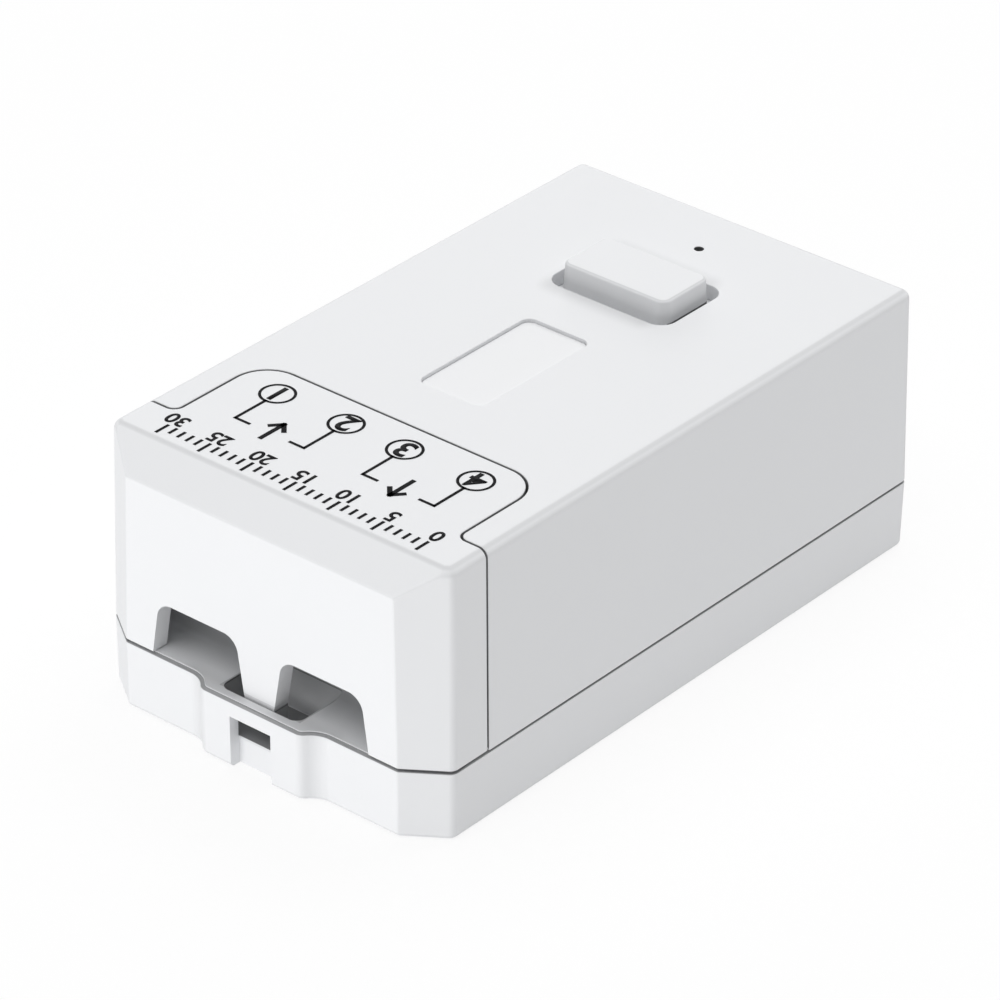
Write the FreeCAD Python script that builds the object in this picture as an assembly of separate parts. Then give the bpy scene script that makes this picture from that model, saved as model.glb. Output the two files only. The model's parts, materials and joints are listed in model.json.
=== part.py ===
"""Wired-in radio receiver for a light circuit, built up piece by piece, in millimetres.

Modelling frame: X across, 0 on the centre line; Y back from the flat front face, where the
cables enter; Z up from the underside. `save` moves each piece to the part's own frame, whose
origin is under the middle of the whole receiver.
"""
import FreeCAD, Part
import math
import os

V = FreeCAD.Vector

# Outer form
HALF_W = 20.0          # half the width at the split line
BODY_L = 68.35         # front face to back face at the split line
TOP_Z = 27.3           # height of the top face
SPLIT_Z = 6.9          # height of the rim of the base
UPPER_DRAFT = 0.98     # lean of the upper sides and back, in degrees
BASE_DRAFT = 0.8       # lean of all base walls, in degrees
CORNER_X = 4.05        # facet on each front corner, across
CORNER_Y = 2.85        # the same facet, along
CORNER_GROWTH = 1.05   # how much larger that facet is at the top
SLOPE_Y = 2.88         # slope along the top front edge, along
SLOPE_Z = 3.06         # the same slope, in height
EDGE_R = 0.95          # rounding of the outer edges
FRONT_R = 0.45         # rounding of the edges around the front face
FOOT_R = 0.55          # rounding of the lowest edges
RIM_R = 0.1            # rounding of the rims along the seams
STEP_R = 0.05          # rounding of the step from the rim to the shelf

# Bowed front lip of the base
BULGE = 1.3            # how far it stands forward
BULGE_HALF = 5.8       # half its flat width, to the sharp corner
BULGE_RUN = 1.25       # width of each slanting side
BULGE_R = 1.2          # rounding of its corners
BULGE_FOOT_R = 2.6     # rounding where it grows out of the front

# Walls and gaps
WALL = 1.5
TOP_WALL = 1.5
FRONT_WALL = 1.8       # front wall of the cover, seen in its openings
FLOOR = 1.6
SEAM = 0.25            # gap between the cover and the housing
COVER_GAP = 0.1        # gap under the cover, above the shelf
HOUSING_GAP = 0.2      # gap under the housing, above the base rim
LOOSE = 0.1            # side clearance of fixed pieces that are dropped in place
REST = 0.05            # gap under a piece that only rests

# Shelf, ramp, well and release slot at the front of the base
COVER_Y = 7.35         # seam across the shoulders, between cover and housing
LEDGE = 0.4            # width of the outer ledge of the rim
SHELF_Z = SPLIT_Z + 0.2
SHELF_T = 1.5          # thickness of the shelf
RAMP_FRONT = COVER_Y - 0.35
RAMP_BACK = RAMP_FRONT + 1.0
RAMP_H = 4.25          # height of the wall behind the shelf
RAMP_TOP = SHELF_Z + RAMP_H
RAMP_R = 2.6           # hollow rounding from shelf to wall
RAMP_GAP = 0.3         # from the wall's ends to the cover
RAMP_HALF = HALF_W - WALL - RAMP_GAP
WELL_HALF = 4.6
WELL_FRONT = -0.15
WELL_BACK = 6.5
WELL_Z = 2.75          # floor of the well
WELL_R = 1.0
SLOT_HALF = 2.4
SLOT_TOP = SPLIT_Z - 1.5

# Lip of the base inside the housing
LIP_INSET = 0.9
LIP_RISE = 1.0

# Terminal cover
TAB_HALF = HALF_W - 3.73  # seam along the sides of the top tab
TAB_Y = 18.97          # seam behind the tab
TAB_R = 3.6
NOTCH_R = 1.0
CABLE_TOP = SPLIT_Z + 5.85  # top of the cable openings
CABLE_IN_TOP = 2.7     # their inner edge, at the top
CABLE_IN_LOW = 1.77    # and at the bottom of the cover
CABLE_OUT_TOP = 11.83
CABLE_OUT_LOW = 12.68
CABLE_R = 1.7
TONGUE_DOWN = 2.9      # how far the tongue hangs below the cover
TONGUE_HALF = 1.75
NOSE = 0.06            # how far its snap nose stands forward
NOSE_H = 0.75
TOUCH_R = 0.07         # rounding of the edges along the seam and around the holes

# Board
BOARD_GAP = 0.9        # from the board to the walls
BOARD_Z = SPLIT_Z + LIP_RISE + LOOSE
BOARD_T = 1.6
BOARD_TOP = BOARD_Z + BOARD_T
BOARD_R = 1.0
BOARD_HALF = HALF_W - WALL - BOARD_GAP
BOARD_Y0 = RAMP_BACK + 0.4
BOARD_Y1 = BODY_L - WALL - BOARD_GAP
PART_GAP = 0.5         # between neighbours on the board
LEAD_R = 0.35
LEAD_HOLE = 0.15       # clearance around a lead
PIN_BELOW = 1.6        # pins and leads below the board

# Bulkhead behind the terminals, part of the housing
BULKHEAD_Y = TAB_Y + SEAM
BULKHEAD_T = 1.2
BULKHEAD_BACK = BULKHEAD_Y + BULKHEAD_T
BULKHEAD_Z = BOARD_TOP + 0.4
TAB_LEDGE = 1.3        # how far its top ledge reaches under the tab
TAB_LEDGE_T = 1.0

# Screws that clamp base, board and housing
SCREW_R = 1.25
SCREW_HEAD_R = 2.1
SCREW_HEAD_H = 1.5
SCREW_SINK = 0.3       # head below the underside
SCREW_L = 12.0
CROSS_REACH = 1.25     # half the length of the cross recess
CROSS_HALF = 0.3
CROSS_DEEP = 0.9
BOSS_R = 2.9
SCREW_X = HALF_W - WALL - BOSS_R + LOOSE
SCREW_YS = [BULKHEAD_BACK + 2.35, BODY_L - WALL - BOSS_R + REST]
SCREW_PLACES = [(side * SCREW_X, y) for y in SCREW_YS for side in (-1, 1)]

# Button and the tactile switch under it
BUTTON_Y = BODY_L - 16.65
HOLE_HALF_X = 7.0
HOLE_HALF_Y = 4.6
HOLE_R = 1.7
CAP_HALF_X = 6.05      # half the cap's size at its top
CAP_HALF_Y = 3.35
CAP_R = 0.95
CAP_DRAFT = 3.5        # lean of its sides, in degrees
CAP_EDGE_R = 0.33
CAP_RISE = 1.75        # how far the cap stands proud
CAP_LOW = 1.25         # how far its skirt reaches under the top face
PRESS = 0.3            # travel of the button
FLANGE_OVER = 0.7      # how far the flange hides under the rim of the hole
FLANGE_T = 1.0
FLANGE_GAP = 0.1
NECK_IN = 1.1
STEM_R = 1.6
COLLAR_GAP = 0.25      # between the flange and the collar that guides it
COLLAR_T = 1.0
COLLAR_H = 3.0
SWITCH_HALF = 3.0
SWITCH_LEAD_X = 0.8    # share of that half size at which its leads stand
SWITCH_LEAD_Y = 0.7
SWITCH_H = 3.5
PLUNGER_R = 1.75
PLUNGER_TOP = 9.5      # above the board
PLUNGER_DEEP = 1.8     # how deep the plunger sits in the switch

# Window recess in the top and the plate in it
WINDOW_HALF = 3.7
WINDOW_Y0 = TAB_Y + 6.35
WINDOW_Y1 = BUTTON_Y - HOLE_HALF_Y - 6.3
WINDOW_R = 1.0
WINDOW_DROP = 0.35     # depth of the plate's face under the top
PLATE_T = 0.3

# Indicator hole, light pipe and indicator
LED_Y = BODY_L - 7.2
LED_HOLE_R = 0.48
PIPE_R = 1.2
PIPE_NUB_R = 0.42
PIPE_NUB_DOWN = 1.1    # tip of the pipe below the top face
PIPE_SLEEVE_T = 0.9
PIPE_SLEEVE_H = 4.0
LED_HALF_X = 1.0
LED_HALF_Y = 0.65
LED_H = 0.75
LED_AIR = 0.3

# Terminals: two blocks of two poles
POLE_IN = 3.4          # inner poles from the centre line
POLE_PITCH = 8.2       # from inner to outer pole
POLE_XS = [-POLE_IN - POLE_PITCH, -POLE_IN, POLE_IN, POLE_IN + POLE_PITCH]
BLOCK_SIDE = 3.3       # pole centre to the side of the block
BLOCK_Y0 = BOARD_Y0
BLOCK_Y1 = BLOCK_Y0 + 10.0
BLOCK_TOP = TOP_Z - TOP_WALL - 2.3
POLE_Y = BLOCK_Y0 + 5.2
CELL_HALF_X = 2.7
CELL_HALF_Y = 2.75
CELL_FLOOR = 0.7
WIRE_R = 1.6           # wire entry
WIRE_Z = 3.85          # its axis above the board
BAR_Z = 5.6            # underside of the current bar above the board
BAR_T = 1.0
BAR_HALF = 1.5
BAR_GAP = 0.2          # between the bar and the cage around it
PIN_T = 1.0
PIN_HOLE_R = 0.85
THREAD_R = 1.5
RUN_FIT = 0.05
CLAMP_HEAD_R = 2.45
CLAMP_HEAD_H = 1.8
HEAD_WAY = 0.2
SLOT_W = 0.8
SLOT_DEEP = 0.9
CAGE_GAP = 0.25
CAGE_WALL = 0.75
CAGE_Z = 1.05          # underside of the open cage above the board
CAGE_FOOT = 0.8
CAGE_HEAD = 1.6
CAGE_H = BAR_Z + BAR_T + BAR_GAP + CAGE_HEAD - CAGE_Z
CAGE_ROOM = BLOCK_TOP - HEAD_WAY - CLAMP_HEAD_H  # underside of the screw's head
print("cage rise %.3f" % (CAGE_ROOM - HEAD_WAY - BOARD_TOP - CAGE_Z - CAGE_H))

# Relay, against the left edge of the board
RELAY_HALF_X = 5.1
RELAY_HALF_Y = 8.2
RELAY_H = 13.0
RELAY_EDGE = 0.7       # from the edge of the board
RELAY_X = RELAY_EDGE + RELAY_HALF_X - BOARD_HALF
RELAY_Y = SCREW_YS[0] + BOSS_R + PART_GAP + RELAY_HALF_Y
RELAY_BASE_T = 0.9
RELAY_WALL = 0.6
RELAY_LEAD_X = 1.3     # from its side to its outer leads
RELAY_LEAD_Y = 2.2
RELAY_LEAD_MID = 0.6   # share of the way back at which its rear pair stands
COIL_AHEAD = 2.6       # coil axis in front of the middle of the relay
COIL_R = 4.0
COIL_WIRE_R = 3.5
COIL_CORE_R = 1.3
COIL_FLANGE_T = 0.7
YOKE_T = 1.0
YOKE_HALF = 3.2
POLE_GAP = 0.4         # air gap between the pole face and the armature
HINGE_AIR = 0.1
ARM_LIFT_AIR = 1.4     # from the armature to the top of the case
YOKE_TOP = RELAY_H - RELAY_WALL - ARM_LIFT_AIR - YOKE_T - HINGE_AIR
ARM_T = 0.3            # contact arm that hangs from the armature
ARM_HALF = 1.2
ARM_AIR = 0.6
ARM_LOW = 4.0
CONTACT_AIR = 0.45
CONTACT_T = 0.8
CONTACT_OVER = 2.0     # how far the fixed contact reaches above the arm's end

# Supply, from the bulkhead back along the middle of the board
FILM_HALF_X = 2.5
FILM_HALF_Y = 5.5
FILM_H = 11.0
FILM_R = 0.4
FILM_Y = BULKHEAD_BACK + PART_GAP + FILM_HALF_Y
RECTIFIER_HALF_X = 1.9
RECTIFIER_HALF_Y = 2.1
RECTIFIER_H = 2.4
RECTIFIER_PITCH = 2.5
RECTIFIER_LEGS = 2     # on each side
RECTIFIER_Y = FILM_Y + FILM_HALF_Y + PART_GAP + RECTIFIER_HALF_Y
POWER_HALF_X = 1.3
POWER_HALF_Y = 2.4
POWER_H = 1.6
POWER_PITCH = 1.25
POWER_LEGS = 4
POWER_Y = RECTIFIER_Y + RECTIFIER_HALF_Y + PART_GAP + POWER_HALF_Y
DISC_R = 3.8
DISC_T = 3.4
DISC_LIFT = 0.8
DISC_Y = BULKHEAD_BACK + PART_GAP + DISC_R
FUSE_R = 1.5
FUSE_L = 5.0
FUSE_REACH = 3.4       # from its middle to each lead
FUSE_Y = BULKHEAD_BACK + PART_GAP + FUSE_REACH + LEAD_R

# Transformer, against the right edge of the board
CORE_HALF_X = 6.5
CORE_HALF_Y = 3.0
CORE_H = 11.0
CORE_LEG = 1.5
CORE_MID = 1.6         # half the middle leg
CORE_LIFT = 1.2        # underside of the core above the board
BOBBIN_T = 0.55
BOBBIN_REACH = 2.4     # how far the bobbin reaches past the core, along
BOBBIN_LEAD_IN = 1.0
WINDING_IN = 0.3       # winding inside the edge of the flanges
WINDING_R = 1.0
CORE_EDGE = 1.0        # from the edge of the board
CORE_X = BOARD_HALF - CORE_EDGE - CORE_HALF_X
CORE_Y = DISC_Y + DISC_R + PART_GAP + BOBBIN_REACH + CORE_HALF_Y

# What stands between relay and transformer, and in front of the transformer
MIDDLE_X = (RELAY_X + RELAY_HALF_X + CORE_X - CORE_HALF_X) / 2
DISC_X = MIDDLE_X + FILM_HALF_X + PART_GAP + DISC_T / 2
FUSE_X = DISC_X + DISC_T / 2 + PART_GAP + FUSE_R

# Capacitors
CAN_GROOVE_Z = 1.4
CAN_GROOVE = 0.1       # radius of the groove, as a share of the can's
CAN_ROUND = 0.12       # rounding of the can's top, likewise
BULK_R = 3.5
BULK_H = 12.5
BULK_LEAD = 2.5        # half the spacing of its leads
BULK_EDGE = 1.2        # from the edge of the board
BULK_X = BOARD_HALF - BULK_EDGE - BULK_R
BULK_Y = CORE_Y + CORE_HALF_Y + BOBBIN_REACH + PART_GAP + BULK_R
OUTPUT_R = 2.2
OUTPUT_H = 9.0
OUTPUT_LEAD = 1.0
OUTPUT_X = 2.1
OUTPUT_Y = BUTTON_Y + SWITCH_HALF + PART_GAP + OUTPUT_R

# Chips, and the thin legs that all of them have
LEG_OUT = 1.0
LEG_T = 0.2
LEG_HALF = 0.15
CHIP_LIFT = 0.1
CONTROL_HALF_X = 1.5
CONTROL_HALF_Y = 2.5
CONTROL_H = 1.1
FINE_PITCH = 0.65
FINE_LEGS = 7
CONTROL_X = BOARD_HALF - PART_GAP - LEG_OUT - CONTROL_HALF_X
CONTROL_Y = BODY_L - 10.4

# Radio board, on its header near the back left corner
RADIO_HALF_X = 5.3
RADIO_HALF_Y = 5.0
RADIO_T = 0.8
RADIO_EDGE = 1.2       # from the edge of the main board
RADIO_X = RADIO_EDGE + RADIO_HALF_X - BOARD_HALF
RADIO_Y = BODY_L - 13.1
HEADER_H = 2.5
HEADER_HALF = 1.0
HEADER_IN = 1.6        # header behind the edge of the radio board
HEADER_OVER = 0.6      # pin ends above the radio board
HEADER_PITCH = 1.7
HEADER_COUNT = 6
RADIO_Z = BOARD_TOP + HEADER_H
RADIO_TOP = RADIO_Z + RADIO_T
RF_HALF_X = 1.9
RF_HALF_Y = 2.3
RF_H = 1.0
RF_Y = RADIO_Y - 2.0
CRYSTAL_HALF_X = 1.6
CRYSTAL_HALF_Y = 0.9
CRYSTAL_H = 0.8
CRYSTAL_Y = RF_Y + RF_HALF_Y + PART_GAP + CRYSTAL_HALF_Y

# Antenna, a coil of wire that lies along the board
AERIAL_X = 7.2
AERIAL_Y = BODY_L - 13.9
AERIAL_R = 2.2
AERIAL_WIRE_R = 0.35
AERIAL_PITCH = 1.3
AERIAL_TURNS = 8

# Where leads pass through the board
SWITCH_LEADS = [(x * SWITCH_HALF * SWITCH_LEAD_X, BUTTON_Y + y * SWITCH_HALF * SWITCH_LEAD_Y)
                for x in (-1, 1) for y in (-1, 1)]
RELAY_LEADS = [(RELAY_X + x * (RELAY_HALF_X - RELAY_LEAD_X), RELAY_Y + y * (RELAY_HALF_Y - RELAY_LEAD_Y))
               for x, y in ((-1, -1), (1, -1), (-1, RELAY_LEAD_MID), (1, RELAY_LEAD_MID), (0, 1))]
BOBBIN_LEADS = [(CORE_X + x * CORE_HALF_X / 2, CORE_Y + y * (CORE_HALF_Y + BOBBIN_REACH - BOBBIN_LEAD_IN))
                for x in (-1, 0, 1) for y in (-1, 1)]
FILM_LEADS = [(MIDDLE_X, FILM_Y + y * (FILM_HALF_Y - 1)) for y in (-1, 1)]
DISC_LEADS = [(DISC_X + side * DISC_T / 4, DISC_Y + side * DISC_R * 0.65) for side in (-1, 1)]
FUSE_LEADS = [(FUSE_X, FUSE_Y + side * FUSE_REACH) for side in (-1, 1)]
BULK_LEADS = [(BULK_X + side * BULK_LEAD, BULK_Y) for side in (-1, 1)]
OUTPUT_LEADS = [(OUTPUT_X + side * OUTPUT_LEAD, OUTPUT_Y) for side in (-1, 1)]
HEADER_LEADS = [(RADIO_X + (i - (HEADER_COUNT - 1) / 2) * HEADER_PITCH, RADIO_Y + RADIO_HALF_Y - HEADER_IN)
                for i in range(HEADER_COUNT)]
AERIAL_LEADS = [(AERIAL_X + AERIAL_R, AERIAL_Y)]


def box(x0, x1, y0, y1, z0, z1):
    return Part.makeBox(x1 - x0, y1 - y0, z1 - z0, V(x0, y0, z0))


def middle_box(x, y, half_x, half_y, z0, z1):
    return box(x - half_x, x + half_x, y - half_y, y + half_y, z0, z1)


def rod(x, y, z0, z1, r):
    return Part.makeCylinder(r, z1 - z0, V(x, y, z0))


def flat(z):
    """Place outline points on the level plane at z."""
    return lambda a, b: V(a, b, z)


def upright(y):
    """Place outline points on the plane across the part at y."""
    return lambda a, b: V(a, y, b)


def side_on(x):
    """Place outline points on the plane along the part at x."""
    return lambda a, b: V(x, a, b)


def rounded_wire(corners, place):
    """Closed wire through corners (a, b, radius), each rounded by an arc of its radius."""
    edges = []
    ends = []
    count = len(corners)
    for i, (a, b, r) in enumerate(corners):
        here = V(a, b, 0)
        back = V(*corners[i - 1][:2], 0) - here
        ahead = V(*corners[(i + 1) % count][:2], 0) - here
        back.normalize()
        ahead.normalize()
        if r <= 0:
            ends.append((here, here))
            continue
        half = back.getAngle(ahead) / 2
        cut = r / math.tan(half)
        middle = back + ahead
        middle.normalize()
        start, end = here + back * cut, here + ahead * cut
        top = here + middle * (r / math.sin(half) - r)
        ends.append((start, end))
        edges.append(Part.Arc(place(start.x, start.y), place(top.x, top.y), place(end.x, end.y)).toShape())
    for i in range(count):
        start, end = ends[i][1], ends[(i + 1) % count][0]
        if start.distanceToPoint(end) > 1e-6:
            edges.append(Part.LineSegment(place(start.x, start.y), place(end.x, end.y)).toShape())
    return Part.Wire(Part.__sortEdges__(edges))


def prism(corners, place, run):
    """Solid made by running a rounded outline along the vector run."""
    return Part.Face(rounded_wire(corners, place)).extrude(V(*run))


def rounded_corners(x, y, half_x, half_y, r):
    return [(x + sx * half_x, y + sy * half_y, r) for sx, sy in ((-1, -1), (1, -1), (1, 1), (-1, 1))]


def rounded_box(x, y, half_x, half_y, r, z0, z1):
    return prism(rounded_corners(x, y, half_x, half_y, r), flat(z0), (0, 0, z1 - z0))


def inset(points, d):
    """Outline, anticlockwise, with every side moved inwards by d."""
    moved = []
    count = len(points)
    for i, (x, y) in enumerate(points):
        bx, by = points[i - 1]
        ax, ay = points[(i + 1) % count]
        ux, uy = x - bx, y - by
        wx, wy = ax - x, ay - y
        lu, lw = math.hypot(ux, uy), math.hypot(wx, wy)
        ux, uy, wx, wy = ux / lu, uy / lu, wx / lw, wy / lw
        nx, ny = -uy - wy, ux + wx
        scale = d / (1 + ux * wx + uy * wy)
        moved.append((x + nx * scale, y + ny * scale))
    return moved


def frustum(low, z_low, high, z_high):
    """Solid with flat sides between two like outlines at two heights."""
    a = [V(x, y, z_low) for x, y in low]
    b = [V(x, y, z_high) for x, y in high]
    faces = [Part.Face(Part.makePolygon(a[::-1] + a[-1:])), Part.Face(Part.makePolygon(b + b[:1]))]
    for i in range(len(a)):
        j = (i + 1) % len(a)
        faces.append(Part.Face(Part.makePolygon([a[i], a[j], b[j], b[i], a[i]])))
    solid = Part.Solid(Part.Shell(faces))
    if solid.Volume < 0:
        solid.reverse()
    return solid


def level_edges(shape, z):
    return [e for e in shape.Edges if all(abs(v.Z - z) < 1e-3 for v in e.Vertexes)]


def steep_edges(shape, keep=lambda v: True):
    """Edges that climb from one height to another, with every end where keep says."""
    found = []
    for e in shape.Edges:
        zs = [v.Z for v in e.Vertexes]
        if max(zs) - min(zs) > 2.0 and all(keep(v) for v in e.Vertexes):
            found.append(e)
    return found


def meets_front(edge):
    return min(v.Y for v in edge.Vertexes) < 1e-3


def save(name, *solids):
    """Write one node, moved so that the origin lies under the middle of the receiver."""
    shape = solids[0] if len(solids) == 1 else Part.makeCompound(list(solids))
    shape = shape.copy()
    shape.translate(V(0, -(BODY_L - BULGE) / 2, 0))
    for solid in shape.Solids:
        if not solid.isValid() or solid.Volume <= 0:
            print("bad solid in", name)
    shape.exportStep("parts/%s.step" % name)
    print("%-22s solids %d volume %.1f" % (name, len(shape.Solids), shape.Volume))


def upper_points(z):
    """Outline of the upper half at height z."""
    rise = z - SPLIT_Z
    lean = rise * math.tan(math.radians(UPPER_DRAFT))
    grow = 1 + (CORNER_GROWTH - 1) * rise / (TOP_Z - SPLIT_Z)
    side, back = HALF_W - lean, BODY_L - lean
    cx, cy = CORNER_X * grow, CORNER_Y * grow
    return [(cx - side, 0), (side - cx, 0), (side, cy), (side, back), (-side, back), (-side, cy)]


def slope_wedge(deep):
    """What the slope takes off, moved inwards by deep."""
    size = math.hypot(SLOPE_Y, SLOPE_Z)
    y0, z0 = SLOPE_Z / size * deep, TOP_Z - SLOPE_Z - SLOPE_Y / size * deep
    low = (y0 - SLOPE_Y, z0 - SLOPE_Z, 0)
    high = (y0 + 2 * SLOPE_Y, z0 + 2 * SLOPE_Z, 0)
    return prism([low, high, (low[0], high[1], 0)], side_on(-HALF_W - 1), (2 * HALF_W + 2, 0, 0))


def upper_form(z_low):
    """Outer form of housing and cover together, from z_low to the top face."""
    form = frustum(upper_points(z_low), z_low, upper_points(TOP_Z), TOP_Z)
    form = form.cut(slope_wedge(0))
    outer = [e for e in form.Edges if e.BoundBox.ZMax > z_low + EDGE_R]
    form = form.makeFillet(EDGE_R, [e for e in outer if not meets_front(e)])
    outer = [e for e in form.Edges if e.BoundBox.ZMax > z_low + EDGE_R]
    form = form.makeFillet(FRONT_R, [e for e in outer if meets_front(e)])
    return form.makeFillet(RIM_R, level_edges(form, z_low))


def upper_hollow(z_low):
    """Room inside the upper half, from z_low to the underside of the top wall."""
    z_high = TOP_Z - TOP_WALL
    room = frustum(inset(upper_points(z_low), WALL), z_low, inset(upper_points(z_high), WALL), z_high)
    return room.cut(slope_wedge(WALL))


def base_form(d, z_low, z_high):
    """Outer form of the base between two heights, moved inwards by d all round."""
    half = [(BULGE_HALF, -BULGE), (BULGE_HALF + BULGE_RUN, 0), (HALF_W - CORNER_X, 0),
            (HALF_W, CORNER_Y), (HALF_W, BODY_L)]
    points = half + [(-x, y) for x, y in reversed(half)]
    lean = math.tan(math.radians(BASE_DRAFT))
    low, high = (inset(points, d + max(0, SPLIT_Z - z) * lean) for z in (z_low, z_high))
    form = frustum(low, z_low, high, z_high)
    mid, facet = BULGE_HALF + BULGE_RUN / 2, HALF_W - d - CORNER_X / 2
    form = form.makeFillet(max(EDGE_R - d, RIM_R), steep_edges(form, lambda v: abs(v.X) > facet))
    front = steep_edges(form, lambda v: mid + BULGE_RUN < abs(v.X) < facet)
    form = form.makeFillet(max(FRONT_R - d, RIM_R), front)
    if d >= BULGE_R:
        return form
    form = form.makeFillet(BULGE_R - d, steep_edges(form, lambda v: abs(v.X) < mid))
    foot = steep_edges(form, lambda v: mid < abs(v.X) < mid + BULGE_RUN and abs(v.Y - d) < BULGE / 4)
    return form.makeFillet(BULGE_FOOT_R + d, foot)


def cover_zone(grow):
    """Room of the terminal cover and its tab, made larger all round by grow."""
    wide, seam, rear, tab = HALF_W + 5, COVER_Y + grow, TAB_Y + grow, TAB_HALF + grow
    half = [(wide, -5, 0), (wide, seam, 0), (tab, seam, NOTCH_R - grow), (tab, rear, TAB_R + grow)]
    corners = half + [(-x, y, r) for x, y, r in reversed(half)]
    band = box(-wide, wide, -5, seam, -5, TOP_Z + 5)
    return band.fuse(prism(corners, flat(TOP_Z - 2 * TOP_WALL), (0, 0, 5 + 2 * TOP_WALL)))


def seam_edges(shape, form, zone):
    """Edges of shape that lie both on the outer form and on the wall of the zone."""
    def lies_on(solid, edge):
        middle = edge.valueAt((edge.FirstParameter + edge.LastParameter) / 2)
        points = [v.Point for v in edge.Vertexes] + [middle]
        return all(solid.Shells[0].distToShape(Part.Vertex(point))[0] < 1e-3 for point in points)

    return [e for e in shape.Edges if e.BoundBox.ZMax > SHELF_Z + 1 and lies_on(zone, e) and lies_on(form, e)]


def rim_edges(shape, y, half_x, half_y):
    """Edges of the top face around a hole of that half size at y."""
    return [e for e in level_edges(shape, TOP_Z) if e.BoundBox.XMax < half_x + SEAM
            and e.BoundBox.XMin > -half_x - SEAM and abs(e.CenterOfMass.y - y) < half_y + SEAM]


def base_shell():
    """Lower tray: bowed lip, cable shelf with the ramp behind it, tongue well, slot and bosses."""
    shell = base_form(0, 0, SPLIT_Z)
    shell = shell.makeFillet(RIM_R, level_edges(shell, SPLIT_Z))
    shell = shell.makeFillet(FOOT_R, level_edges(shell, 0))
    shelf = base_form(LEDGE, FLOOR, SHELF_Z)
    shelf = shelf.makeFillet(STEP_R, level_edges(shelf, SHELF_Z))
    shell = shell.fuse(shelf.common(box(-HALF_W, HALF_W, -BULGE, COVER_Y, FLOOR, SHELF_Z)))
    lip = base_form(LIP_INSET, FLOOR, SPLIT_Z + LIP_RISE)
    shell = shell.fuse(lip.common(box(-HALF_W, HALF_W, COVER_Y + SEAM, BODY_L, FLOOR, TOP_Z)))
    ramp = prism([(RAMP_FRONT - RAMP_R - WALL, FLOOR, 0), (RAMP_BACK, FLOOR, 0), (RAMP_BACK, RAMP_TOP, RIM_R),
                  (RAMP_FRONT, RAMP_TOP, RIM_R), (RAMP_FRONT, SHELF_Z, RAMP_R),
                  (RAMP_FRONT - RAMP_R - WALL, SHELF_Z, 0)], side_on(-RAMP_HALF), (2 * RAMP_HALF, 0, 0))
    shell = shell.fuse(ramp)
    room = base_form(WALL, FLOOR, RAMP_TOP)
    shell = shell.cut(room.common(box(-HALF_W, HALF_W, RAMP_BACK, BODY_L, FLOOR, RAMP_TOP)))
    under_shelf = box(WELL_HALF + WALL, HALF_W, WALL, RAMP_BACK, FLOOR, SHELF_Z - SHELF_T)
    for pocket in (under_shelf, under_shelf.mirror(V(0, 0, 0), V(1, 0, 0))):
        shell = shell.cut(room.common(pocket))
    well_mid, well_reach = (WELL_FRONT + WELL_BACK) / 2, (WELL_BACK - WELL_FRONT) / 2
    shell = shell.cut(rounded_box(0, well_mid, WELL_HALF, well_reach, WELL_R, WELL_Z, RAMP_TOP + 1))
    shell = shell.cut(box(-SLOT_HALF, SLOT_HALF, -BULGE - 1, 0, -1, SLOT_TOP))
    for x, y in SCREW_PLACES:
        shell = shell.fuse(rod(x, y, FLOOR / 2, BOARD_Z, BOSS_R))
    for x, y in SCREW_PLACES:
        shell = shell.cut(rod(x, y, -1, SCREW_SINK + SCREW_HEAD_H, SCREW_HEAD_R + 2 * LOOSE))
        shell = shell.cut(rod(x, y, -1, BOARD_Z + 1, SCREW_R + LOOSE))
    return shell.removeSplitter()


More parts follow.
